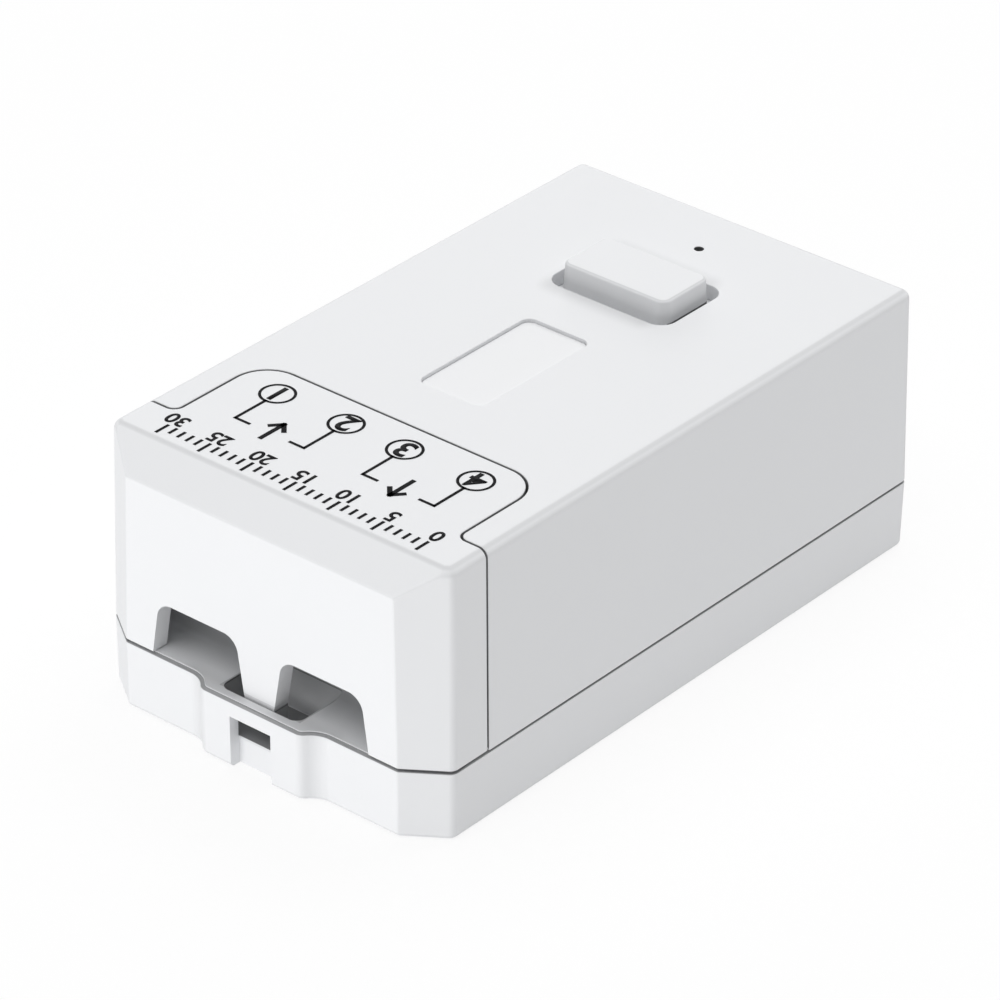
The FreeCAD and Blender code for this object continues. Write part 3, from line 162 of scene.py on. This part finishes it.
# Finishes
WHITE = (0.83, 0.838, 0.853)
WINDOW_WHITE = (0.885, 0.892, 0.905)
GRAIN_HEIGHT = 0.02 * mm
TRACK_HEIGHT = 0.03 * mm
TURN_HEIGHT = 0.06 * mm
BROAD_SCALE = 60.0           # of the faint changes of tone over a whole shell
CLOUD_SCALE = 350.0          # of the clouds in the plating
SCRATCH_STRETCH = 12.0       # how much longer scratches are than wide


def link(tree, source, target):
    tree.links.new(source, target)


def feed(tree, value, target):
    """Gives a socket a plain number, or the output of another node."""
    if isinstance(value, (int, float)):
        target.default_value = value
    else:
        link(tree, value, target)


def math_node(tree, operation, a, b=None):
    """Maths on two values, each a socket or a number."""
    node = tree.nodes.new("ShaderNodeMath")
    node.operation = operation
    feed(tree, a, node.inputs[0])
    if b is not None:
        feed(tree, b, node.inputs[1])
    return node.outputs[0]


def vector_node(tree, operation, a, b=None):
    """Maths on one or two vector sockets."""
    node = tree.nodes.new("ShaderNodeVectorMath")
    node.operation = operation
    link(tree, a, node.inputs[0])
    if b is not None:
        link(tree, b, node.inputs[1])
    return node.outputs[0]


def range_node(tree, value, low, high):
    """Spreads a value of 0 to 1 between low and high."""
    node = tree.nodes.new("ShaderNodeMapRange")
    link(tree, value, node.inputs["Value"])
    feed(tree, low, node.inputs["To Min"])
    feed(tree, high, node.inputs["To Max"])
    return node.outputs[0]


def noise_node(tree, scale, detail, vector=None):
    """Noise over the object's own space, unless another vector is given."""
    node = tree.nodes.new("ShaderNodeTexNoise")
    node.inputs["Detail"].default_value = detail
    feed(tree, scale, node.inputs["Scale"])
    link(tree, vector or object_place(tree), node.inputs["Vector"])
    return node.outputs["Fac"]


def object_place(tree):
    """Place on the object, in its own coordinates."""
    return tree.nodes.new("ShaderNodeTexCoord").outputs["Object"]


def new_group(name, inputs, outputs):
    """Empty node group with named inputs (name, kind, default) and outputs (name, kind)."""
    tree = bpy.data.node_groups.new(name, "ShaderNodeTree")
    for label, kind, value in inputs:
        tree.interface.new_socket(label, in_out="INPUT", socket_type=kind).default_value = value
    for label, kind in outputs:
        tree.interface.new_socket(label, in_out="OUTPUT", socket_type=kind)
    return tree, tree.nodes.new("NodeGroupInput"), tree.nodes.new("NodeGroupOutput")


def edge_tone(tree):
    """Share of light that a surface keeps by its slant, painted into its colour: roundings show as fine, darker
    painted lines between flats, and chamfered walls are painted darker.
    """
    facing = tree.nodes.new("ShaderNodeSeparateXYZ")
    link(tree, tree.nodes.new("ShaderNodeTexCoord").outputs["Normal"], facing.inputs["Vector"])
    upward = tree.nodes.new("ShaderNodeMapRange")
    upward.inputs["From Min"].default_value = -1.0
    link(tree, facing.outputs["Z"], upward.inputs["Value"])
    ramp = tree.nodes.new("ShaderNodeValToRGB")
    stops = ramp.color_ramp.elements
    stops.remove(stops[1])
    stops[0].position = 0.0
    for slant, share in PAINTED_SLANT_SHADES:
        stop = stops.new((1 + math.sin(math.radians(slant))) / 2) if slant > -90 else stops[0]
        stop.color = (share, share, share, 1)
    link(tree, upward.outputs["Result"], ramp.inputs["Fac"])
    askew = math_node(tree, "ABSOLUTE", math_node(tree, "MULTIPLY", facing.outputs["X"], facing.outputs["Y"]))
    return math_node(tree, "MULTIPLY", ramp.outputs["Color"], range_node(tree, askew, 1.0, ASKEW_PAINTED_SHADE))


def shaded_place_group():
    """Painted shade: share of light kept in a box of space, and rising to all of it over a border around the box."""
    tree, given, result = new_group(
        "Painted shade place",
        [("Middle", "NodeSocketVector", (0, 0, 0)), ("Half Size", "NodeSocketVector", (1, 1, 1)),
         ("Border", "NodeSocketVector", (1, 1, 1)), ("Kept Share", "NodeSocketFloat", 0.2)],
        [("Share", "NodeSocketFloat")])
    away = vector_node(tree, "ABSOLUTE", vector_node(tree, "SUBTRACT", object_place(tree), given.outputs["Middle"]))
    beyond = vector_node(tree, "MAXIMUM", vector_node(tree, "SUBTRACT", away, given.outputs["Half Size"]))
    distance = tree.nodes.new("ShaderNodeVectorMath")
    distance.operation = "LENGTH"
    link(tree, vector_node(tree, "DIVIDE", beyond, given.outputs["Border"]), distance.inputs[0])
    share = tree.nodes.new("ShaderNodeMapRange")
    share.interpolation_type = "SMOOTHSTEP"
    link(tree, distance.outputs["Value"], share.inputs["Value"])
    link(tree, given.outputs["Kept Share"], share.inputs["To Min"])
    link(tree, share.outputs["Result"], result.inputs["Share"])
    return tree


def moulded_grain_group():
    """Fine spark-eroded grain of moulded plastic, with faint broad changes of tone and gloss, and painted shade and
    light by the slant of the surface.
    """
    tree, given, result = new_group(
        "Moulded grain",
        [("Grain Scale", "NodeSocketFloat", 9000.0), ("Smooth Roughness", "NodeSocketFloat", 0.4),
         ("Rough Roughness", "NodeSocketFloat", 0.5), ("Colour", "NodeSocketColor", (0.8, 0.8, 0.8, 1)),
         ("Tone Shift", "NodeSocketFloat", 0.02), ("Painted Slant Shade", "NodeSocketFloat", 0.0)],
        [("Colour", "NodeSocketColor"), ("Roughness", "NodeSocketFloat"), ("Height", "NodeSocketFloat")])
    grain = noise_node(tree, given.outputs["Grain Scale"], 3)
    broad = noise_node(tree, BROAD_SCALE, 2)
    link(tree, grain, result.inputs["Height"])
    blend = math_node(tree, "MULTIPLY", math_node(tree, "ADD", grain, broad), 0.5)
    link(tree, range_node(tree, blend, given.outputs["Smooth Roughness"], given.outputs["Rough Roughness"]),
         result.inputs["Roughness"])
    tone = tree.nodes.new("ShaderNodeHueSaturation")
    link(tree, given.outputs["Colour"], tone.inputs["Color"])
    swing = math_node(tree, "MULTIPLY", math_node(tree, "SUBTRACT", broad, 0.5), given.outputs["Tone Shift"])
    # painted shade and light by the slant of the surface, in the share that the plastic asks for
    edge = range_node(tree, given.outputs["Painted Slant Shade"], 1.0, edge_tone(tree))
    link(tree, math_node(tree, "MULTIPLY", math_node(tree, "ADD", swing, 1.0), edge), tone.inputs["Value"])
    link(tree, tone.outputs["Color"], result.inputs["Colour"])
    return tree


def worked_metal_group():
    """Plated or drawn metal: fine scratches along one axis, and cloudy plating."""
    tree, given, result = new_group(
        "Worked metal",
        [("Colour", "NodeSocketColor", (0.6, 0.6, 0.6, 1)), ("Scratch Scale", "NodeSocketFloat", 900.0),
         ("Smooth Roughness", "NodeSocketFloat", 0.25), ("Rough Roughness", "NodeSocketFloat", 0.45)],
        [("Colour", "NodeSocketColor"), ("Roughness", "NodeSocketFloat"), ("Height", "NodeSocketFloat")])
    stretch = tree.nodes.new("ShaderNodeMapping")
    stretch.inputs["Scale"].default_value = (1.0, 1.0, SCRATCH_STRETCH)
    link(tree, object_place(tree), stretch.inputs["Vector"])
    scratches = noise_node(tree, given.outputs["Scratch Scale"], 4, stretch.outputs["Vector"])
    clouds = noise_node(tree, CLOUD_SCALE, 3)
    link(tree, scratches, result.inputs["Height"])
    link(tree, range_node(tree, scratches, given.outputs["Smooth Roughness"], given.outputs["Rough Roughness"]),
         result.inputs["Roughness"])
    tone = tree.nodes.new("ShaderNodeHueSaturation")
    link(tree, given.outputs["Colour"], tone.inputs["Color"])
    link(tree, range_node(tree, clouds, 0.86, 1.12), tone.inputs["Value"])
    link(tree, tone.outputs["Color"], result.inputs["Colour"])
    return tree


GROUPS = {"grain": moulded_grain_group(), "metal": worked_metal_group(), "shade": shaded_place_group()}


def new_material(name):
    """Empty material, its node tree and its shader."""
    material = bpy.data.materials.new(name)
    material.use_nodes = True
    shader = material.node_tree.nodes["Principled BSDF"]
    return material, material.node_tree, shader


def use_group(tree, name, values):
    """Places one of the shared groups, with values for its inputs."""
    node = tree.nodes.new("ShaderNodeGroup")
    node.node_tree = GROUPS[name]
    for label, value in values.items():
        node.inputs[label].default_value = value
    return node


def add_bump(tree, shader, height, strength, distance):
    bump = tree.nodes.new("ShaderNodeBump")
    bump.inputs["Strength"].default_value = strength
    bump.inputs["Distance"].default_value = distance
    link(tree, height, bump.inputs["Height"])
    link(tree, bump.outputs["Normal"], shader.inputs["Normal"])


def plastic(name, colour, smooth=0.42, rough=0.52, grain=9000.0, bump=0.12, tone=0.02, specular=0.5, edges=0.0,
            painted_shades=()):
    """Moulded plastic with a fine grain, with painted shade on the walls of seams and in the shaded places; edges sets
    its painted shade and light by slant.
    """
    material, tree, shader = new_material(name)
    finish = use_group(tree, "grain", {"Colour": (*colour, 1), "Smooth Roughness": smooth,
                                       "Rough Roughness": rough, "Grain Scale": grain, "Tone Shift": tone,
                                       "Painted Slant Shade": edges})
    result = finish.outputs["Colour"]
    if painted_shades:
        # painted shade on the walls of seams and in the shaded places
        seam = tree.nodes.new("ShaderNodeAttribute")
        seam.attribute_name = "seam_wall"
        share = range_node(tree, seam.outputs["Fac"], 1.0, GAP_SHARE)
        for middle, half_size, border, kept in painted_shades:
            place = use_group(tree, "shade", {"Middle": [c * mm for c in middle], "Border": [c * mm for c in border],
                                              "Half Size": [c * mm for c in half_size], "Kept Share": kept})
            share = math_node(tree, "MULTIPLY", share, place.outputs["Share"])
        result = vector_node(tree, "MULTIPLY", result, share)
    link(tree, result, shader.inputs["Base Color"])
    link(tree, finish.outputs["Roughness"], shader.inputs["Roughness"])
    add_bump(tree, shader, finish.outputs["Height"], bump, GRAIN_HEIGHT)
    shader.inputs["Specular IOR Level"].default_value = specular
    return material


def metal(name, colour, smooth=0.22, rough=0.42, scratch=900.0):
    """Plated or bare metal."""
    material, tree, shader = new_material(name)
    finish = use_group(tree, "metal", {"Colour": (*colour, 1), "Smooth Roughness": smooth,
                                       "Rough Roughness": rough, "Scratch Scale": scratch})
    link(tree, finish.outputs["Colour"], shader.inputs["Base Color"])
    link(tree, finish.outputs["Roughness"], shader.inputs["Roughness"])
    add_bump(tree, shader, finish.outputs["Height"], 0.15, GRAIN_HEIGHT)
    shader.inputs["Metallic"].default_value = 1.0
    return material


def board_lacquer():
    """Green lacquer over copper tracks, which show as paler, slightly raised bands."""
    material, tree, shader = new_material("board_lacquer")
    tracks = tree.nodes.new("ShaderNodeTexBrick")
    tracks.inputs["Scale"].default_value = 260.0
    tracks.inputs["Mortar Size"].default_value = 0.012
    tracks.inputs["Color1"].default_value = (0.012, 0.115, 0.05, 1)
    tracks.inputs["Color2"].default_value = (0.018, 0.16, 0.07, 1)
    tracks.inputs["Mortar"].default_value = (0.006, 0.07, 0.03, 1)
    link(tree, object_place(tree), tracks.inputs["Vector"])
    link(tree, tracks.outputs["Color"], shader.inputs["Base Color"])
    link(tree, range_node(tree, noise_node(tree, 500.0, 3), 0.22, 0.34), shader.inputs["Roughness"])
    add_bump(tree, shader, tracks.outputs["Fac"], 0.3, TRACK_HEIGHT)
    return material


def wound_wire():
    """Enamelled copper wire in even turns, across the axis of the coil, with painted shade between the turns and
    painted highlight on their crests.
    """
    material, tree, shader = new_material("wound_wire")
    turns = tree.nodes.new("ShaderNodeTexWave")
    turns.bands_direction = "Z"
    turns.inputs["Scale"].default_value = 1400.0
    turns.inputs["Distortion"].default_value = 0.4
    link(tree, object_place(tree), turns.inputs["Vector"])
    # dark copper in the grooves and light copper on the crests: painted shade and highlight of the round wire
    ramp = tree.nodes.new("ShaderNodeValToRGB")
    ramp.color_ramp.elements[0].color = (0.22, 0.06, 0.02, 1)
    ramp.color_ramp.elements[1].color = (0.62, 0.23, 0.09, 1)
    link(tree, turns.outputs["Fac"], ramp.inputs["Fac"])
    link(tree, ramp.outputs["Color"], shader.inputs["Base Color"])
    add_bump(tree, shader, turns.outputs["Fac"], 0.5, TURN_HEIGHT)
    shader.inputs["Metallic"].default_value = 0.7
    shader.inputs["Roughness"].default_value = 0.32
    return material


def clear_plastic():
    """Clear moulded light guide."""
    material, tree, shader = new_material("clear_plastic")
    link(tree, range_node(tree, noise_node(tree, 800.0, 2), 0.04, 0.12), shader.inputs["Roughness"])
    shader.inputs["Base Color"].default_value = (0.85, 0.89, 0.9, 1)
    shader.inputs["Transmission Weight"].default_value = 0.85
    shader.inputs["IOR"].default_value = 1.49
    return material


def print_ink():
    """Matt black pad print, slightly uneven."""
    material, tree, shader = new_material("print_ink")
    mottle = noise_node(tree, 2600.0, 4)
    ramp = tree.nodes.new("ShaderNodeValToRGB")
    ramp.color_ramp.elements[0].color = (0.006, 0.006, 0.007, 1)
    ramp.color_ramp.elements[1].color = (0.016, 0.016, 0.017, 1)
    link(tree, mottle, ramp.inputs["Fac"])
    link(tree, ramp.outputs["Color"], shader.inputs["Base Color"])
    link(tree, range_node(tree, mottle, 0.5, 0.68), shader.inputs["Roughness"])
    shader.inputs["Specular IOR Level"].default_value = 0.03
    return material


FINISHES = {
    "white_shell": plastic("white_shell", WHITE, specular=0.3, edges=1.0, painted_shades=SHELL_PAINTED_SHADES),
    "button_white": plastic("button_white", WHITE, specular=0.3, edges=1.0, painted_shades=BUTTON_PAINTED_SHADES),
    "gloss_inset": plastic("gloss_inset", WINDOW_WHITE, 0.05, 0.09, 300.0, 0.02),
    "clear_plastic": clear_plastic(),
    "steel": metal("steel", (0.62, 0.62, 0.63)),
    "brass": metal("brass", (0.80, 0.60, 0.28)),
    "copper_wire": wound_wire(),
    "board_green": board_lacquer(),
    "terminal_grey": plastic("terminal_grey", (0.42, 0.44, 0.45), 0.38, 0.5),
    "black_plastic": plastic("black_plastic", (0.02, 0.02, 0.022), 0.35, 0.5, tone=0.2),
    "led_body": plastic("led_body", (0.84, 0.80, 0.62), 0.1, 0.2),
    "core_iron": metal("core_iron", (0.2, 0.2, 0.21), 0.4, 0.6),
    "film_block": plastic("film_block", (0.62, 0.44, 0.05), 0.3, 0.42),
    "disc_coat": plastic("disc_coat", (0.03, 0.07, 0.28), 0.2, 0.32),
    "fuse_coat": plastic("fuse_coat", (0.12, 0.2, 0.12), 0.35, 0.5),
    "can": plastic("can", (0.025, 0.025, 0.05), 0.2, 0.3),
}


def finish_nodes():
    """Gives every carried-over node the finish of its material slot."""
    for name, piece in nodes.items():
        piece.data.materials.clear()
        piece.data.materials.append(FINISHES[slots[name]])


def flat_areas(shape):
    """For each face the number of its flat area, and the size of every area."""
    number = {}
    sizes = []
    for start in shape.faces:
        if start in number:
            continue
        number[start] = len(sizes)
        waiting = [start]
        size = 0
        while waiting:
            face = waiting.pop()
            size += face.calc_area()
            for other in (f for edge in face.edges for f in edge.link_faces):
                if other not in number and other.normal.dot(start.normal) > SAME_PLANE:
                    number[other] = len(sizes)
                    waiting.append(other)
        sizes.append(size)
    return number, sizes


def fan_at(vert, start):
    """Faces around a corner that run smoothly into one another, from one of them."""
    fan = {start}
    waiting = [start]
    while waiting:
        for edge in waiting.pop().edges:
            if vert not in edge.verts or len(edge.link_faces) != 2 or edge.calc_face_angle() > SHARP_ANGLE:
                continue
            fresh = set(edge.link_faces) - fan
            fan |= fresh
            waiting += fresh
    return fan


def rounded_normals(shape):
    """Normals for all face corners: a flat face stays flat up to its edge, roundings turn evenly."""
    number, sizes = flat_areas(shape)
    found = {}
    for vert in shape.verts:
        left = set(vert.link_faces)
        while left:
            fan = fan_at(vert, next(iter(left)))
            left -= fan
            largest = max(fan, key=lambda face: sizes[number[face]])
            others = [sizes[number[face]] for face in fan if number[face] != number[largest]]
            normal = largest.normal.copy()
            if others and sizes[number[largest]] < FLAT_SHARE * max(others):
                corners = [loop for face in fan for loop in face.loops if loop.vert == vert]
                normal = sum((loop.face.normal * loop.calc_angle() for loop in corners), Vector())
            for face in fan:
                found[face, vert] = normal.normalized()
    return [found[face, loop.vert] for face in shape.faces for loop in face.loops]


def mark_seam_walls(shape, name):
    """Marks the faces of a shell that stand close against another shell, for the painted shade of a seam's walls."""
    meshes = [nodes[other].data for other in SHELLS if other != name]
    others = [BVHTree.FromPolygons([v.co for v in mesh.vertices], [p.vertices for p in mesh.polygons])
              for mesh in meshes]
    mark = shape.faces.layers.float.new("seam_wall")
    for face in shape.faces:
        middle = face.calc_center_median()
        places = [middle] + [vert.co.lerp(middle, GAP_INSET) for vert in face.verts]
        for other in others:
            hits = [other.ray_cast(place, face.normal, GAP_REACH * mm) for place in places]
            if all(hit[0] is not None and hit[1].dot(face.normal) < GAP_FACING for hit in hits):
                face[mark] = 1.0 if abs(face.normal.z) < UPRIGHT else LEVEL_MARK


def smooth_copy(name):
    """Merged copy of a node's mesh with smooth roundings and flat faces, shown in its place."""
    source = nodes[name]
    mesh = source.data.copy()
    piece = bpy.data.objects.new("finished_" + name, mesh)
    bpy.context.scene.collection.objects.link(piece)
    shape = bmesh.new()
    shape.from_mesh(mesh)
    bmesh.ops.remove_doubles(shape, verts=shape.verts, dist=SAME_POINT)
    bmesh.ops.dissolve_degenerate(shape, dist=NO_LENGTH, edges=shape.edges)
    shape.normal_update()
    mark_seam_walls(shape, name)
    normals = rounded_normals(shape)
    shape.to_mesh(mesh)
    shape.free()
    mesh.shade_smooth()
    mesh.normals_split_custom_set(normals)
    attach(piece, source["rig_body"])
    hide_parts(name)


def link_piece(name, shape, material, body):
    """Turns a bmesh in millimetres into a piece that rides on a body."""
    bmesh.ops.scale(shape, vec=(mm, mm, mm), verts=shape.verts)
    bmesh.ops.recalc_face_normals(shape, faces=shape.faces)
    mesh = bpy.data.meshes.new(name)
    shape.to_mesh(mesh)
    shape.free()
    mesh.materials.append(material)
    piece = bpy.data.objects.new(name, mesh)
    bpy.context.scene.collection.objects.link(piece)
    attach(piece, body)


def thicken(shape, faces):
    """Gives flat print its thickness, upwards."""
    grown = bmesh.ops.extrude_face_region(shape, geom=faces)
    verts = [g for g in grown["geom"] if isinstance(g, bmesh.types.BMVert)]
    bmesh.ops.translate(shape, verts=verts, vec=(0, 0, PRINT_T))


def add_bar(shape, start, end, width, z):
    """Flat printed line between two points on the cover."""
    a, b = Vector((*start, z)), Vector((*end, z))
    along = (b - a).normalized() * width / 2
    across = Vector((-along.y, along.x, 0))
    corners = [a - along - across, b + along - across, b + along + across, a - along + across]
    thicken(shape, [shape.faces.new([shape.verts.new(c) for c in corners])])


def add_ring(shape, x, y, r, width, z):
    """Flat printed circle."""
    rims = []
    for radius in (r - width / 2, r + width / 2):
        made = bmesh.ops.create_circle(shape, cap_ends=False, radius=radius, segments=RING_SEGMENTS,
                                       matrix=Matrix.Translation((x, y, z)))
        rims += made["verts"]
    edges = [e for e in shape.edges if e.verts[0] in rims and e.verts[1] in rims]
    made = bmesh.ops.bridge_loops(shape, edges=edges)
    thicken(shape, made["faces"])


def add_number(shape, text, x, y, height, z):
    """Plain number, read from behind the cover, with its foot away from the cable end."""
    curve = bpy.data.curves.new("number_outline", "FONT")
    curve.body = text
    curve.size = height / FIGURE_SHARE
    curve.align_x = "CENTER"
    curve.resolution_u = FIGURE_STEPS
    curve.offset = BOLD * height
    source = bpy.data.objects.new("number_outline", curve)
    mesh = bpy.data.meshes.new_from_object(source)
    high = max(v.co.y for v in mesh.vertices)
    low = min(v.co.y for v in mesh.vertices)
    mesh.transform(Matrix.Translation((x, y, z)) @ Matrix.Rotation(math.pi, 4, "Z")
                   @ Matrix.Translation((0, -(high + low) / 2, 0)))
    before = set(shape.faces)
    shape.from_mesh(mesh)
    thicken(shape, [f for f in shape.faces if f not in before])
    bpy.data.objects.remove(source)
    bpy.data.curves.remove(curve)
    bpy.data.meshes.remove(mesh)


def terminal_marks():
    """Rings with plain numbers over the four terminals, and the leaders that pair them."""
    z = TOP_Z + PRINT_LIFT
    shape = bmesh.new()
    for i, x in enumerate(RING_XS):
        add_ring(shape, x, RING_Y, RING_R, RING_LINE, z)
        add_number(shape, str(i + 1), x, RING_Y, NUMBER_H, z)
        inward = 1 if i % 2 == 0 else -1
        foot = RING_Y - RING_R
        corner = foot - LEADER_DROP
        add_bar(shape, (x, foot), (x, corner), LINE_W, z)
        add_bar(shape, (x, corner), (x + inward * LEADER_RUN, corner), LINE_W, z)
    link_piece("printed_terminal_marks", shape, INK, "cover")


def arrow(shape, x, y, points_in, z):
    """Plain arrow along the cable's way, towards the terminals or away from them."""
    way = 1 if points_in else -1
    tip = y + way * ARROW_L / 2
    add_bar(shape, (x, y - way * ARROW_L / 2), (x, tip), ARROW_W, z)
    for side in (-1, 1):
        add_bar(shape, (x, tip), (x + side * ARROW_HEAD_X, tip - way * ARROW_HEAD_Y), ARROW_W, z)


def direction_marks():
    """Arrows between each pair of leaders: supply in, lamp out."""
    z = TOP_Z + PRINT_LIFT
    shape = bmesh.new()
    y = RING_Y - RING_R - LEADER_DROP + ARROW_RISE
    for pair, points_in in ((RING_XS[:2], True), (RING_XS[2:], False)):
        arrow(shape, sum(pair) / 2, y, points_in, z)
    link_piece("printed_arrows", shape, INK, "cover")


def strip_scale():
    """Printed scale along the front edge, for measuring the bared wire ends, with plain numbers."""
    z = TOP_Z + PRINT_LIFT
    shape = bmesh.new()
    for i in range(SCALE_STEPS + 1):
        x = SCALE_X - i * SCALE_STEP
        numbered = i % STEPS_TO_NUMBER == 0
        length = LONG_TICK if numbered else SHORT_TICK
        add_bar(shape, (x, SCALE_Y), (x, SCALE_Y - length), LINE_W, z)
        if numbered:
            add_number(shape, str(i), x, SCALE_Y + SCALE_NUMBER_UP, SCALE_NUMBER_H, z)
    link_piece("printed_scale", shape, INK, "cover")


def rays_that_show(tree):
    """1 for what the camera sees, also in a reflection or through clear plastic, and 0 for light on surfaces."""
    ways = tree.nodes.new("ShaderNodeLightPath")
    seen = math_node(tree, "MAXIMUM", ways.outputs["Is Camera Ray"], ways.outputs["Is Glossy Ray"])
    return math_node(tree, "MAXIMUM", seen, ways.outputs["Is Transmission Ray"])


def studio():
    """Pale floor, white surroundings and soft lamps."""
    bpy.ops.mesh.primitive_plane_add(size=FLOOR_SIZE, location=(0, 0, -FLOOR_DROP))
    floor = bpy.context.object
    floor.name = "floor"
    material, tree, shader = new_material("pale_floor")
    shader.inputs["Base Color"].default_value = (*FLOOR_COLOUR, 1)
    shader.inputs["Roughness"].default_value = 0.9
    shader.inputs["Specular IOR Level"].default_value = 0.0
    glow = tree.nodes.new("ShaderNodeEmission")
    glow.inputs["Strength"].default_value = FLOOR_BRIGHTNESS
    mix = tree.nodes.new("ShaderNodeMixShader")
    link(tree, range_node(tree, rays_that_show(tree), FLOOR_LIGHT, FLOOR_GLOW), mix.inputs["Fac"])
    link(tree, shader.outputs["BSDF"], mix.inputs[1])
    link(tree, glow.outputs["Emission"], mix.inputs[2])
    link(tree, mix.outputs["Shader"], tree.nodes["Material Output"].inputs["Surface"])
    floor.data.materials.append(material)
    material.cycles.emission_sampling = "NONE"
    floor.visible_shadow = False

    world = bpy.data.worlds.new("white_studio")
    bpy.context.scene.world = world
    world.use_nodes = True
    tree = world.node_tree
    background = tree.nodes["Background"]
    background.inputs["Color"].default_value = (1, 1, 1, 1)
    link(tree, range_node(tree, rays_that_show(tree), AMBIENT, 1.0), background.inputs["Strength"])
    for name, azimuth, elevation, strength, spread in LAMPS:
        light = bpy.data.lights.new(name, "SUN")
        light.energy = strength
        light.angle = math.radians(spread)
        lamp = bpy.data.objects.new(name, light)
        bpy.context.scene.collection.objects.link(lamp)
        a, e = math.radians(azimuth), math.radians(elevation)
        towards = Vector((math.sin(a) * math.cos(e), -math.cos(a) * math.cos(e), math.sin(e)))
        lamp.rotation_euler = towards.to_track_quat("Z", "Y").to_euler()


def place_camera():
    """Camera at the photograph's viewing angle."""
    a, e, roll = (math.radians(v) for v in (CAMERA_AZIMUTH, CAMERA_ELEVATION, CAMERA_ROLL))
    back = Vector((math.sin(a) * math.cos(e), -math.cos(a) * math.cos(e), math.sin(e)))
    level = Vector((math.cos(a), math.sin(a), 0))
    upright = back.cross(level)
    right = level * math.cos(roll) + upright * math.sin(roll)
    up = upright * math.cos(roll) - level * math.sin(roll)
    place = CAMERA_AIM + right * CAMERA_ASIDE + up * CAMERA_ABOVE + back * CAMERA_DISTANCE
    camera = bpy.data.objects.new("camera", bpy.data.cameras.new("camera"))
    bpy.context.scene.collection.objects.link(camera)
    camera.data.sensor_width = SENSOR_WIDTH
    camera.data.lens = LENS
    camera.data.clip_start = NEAREST_SEEN
    axes = Matrix((right, up, back)).transposed().to_4x4()
    camera.matrix_world = Matrix.Translation(place) @ axes
    bpy.context.scene.camera = camera


INK = print_ink()
finish_nodes()
for shell in SHELLS:
    smooth_copy(shell)
terminal_marks()
direction_marks()
strip_scale()
place_camera()
studio()

bpy.context.scene.view_settings.view_transform = "Standard"
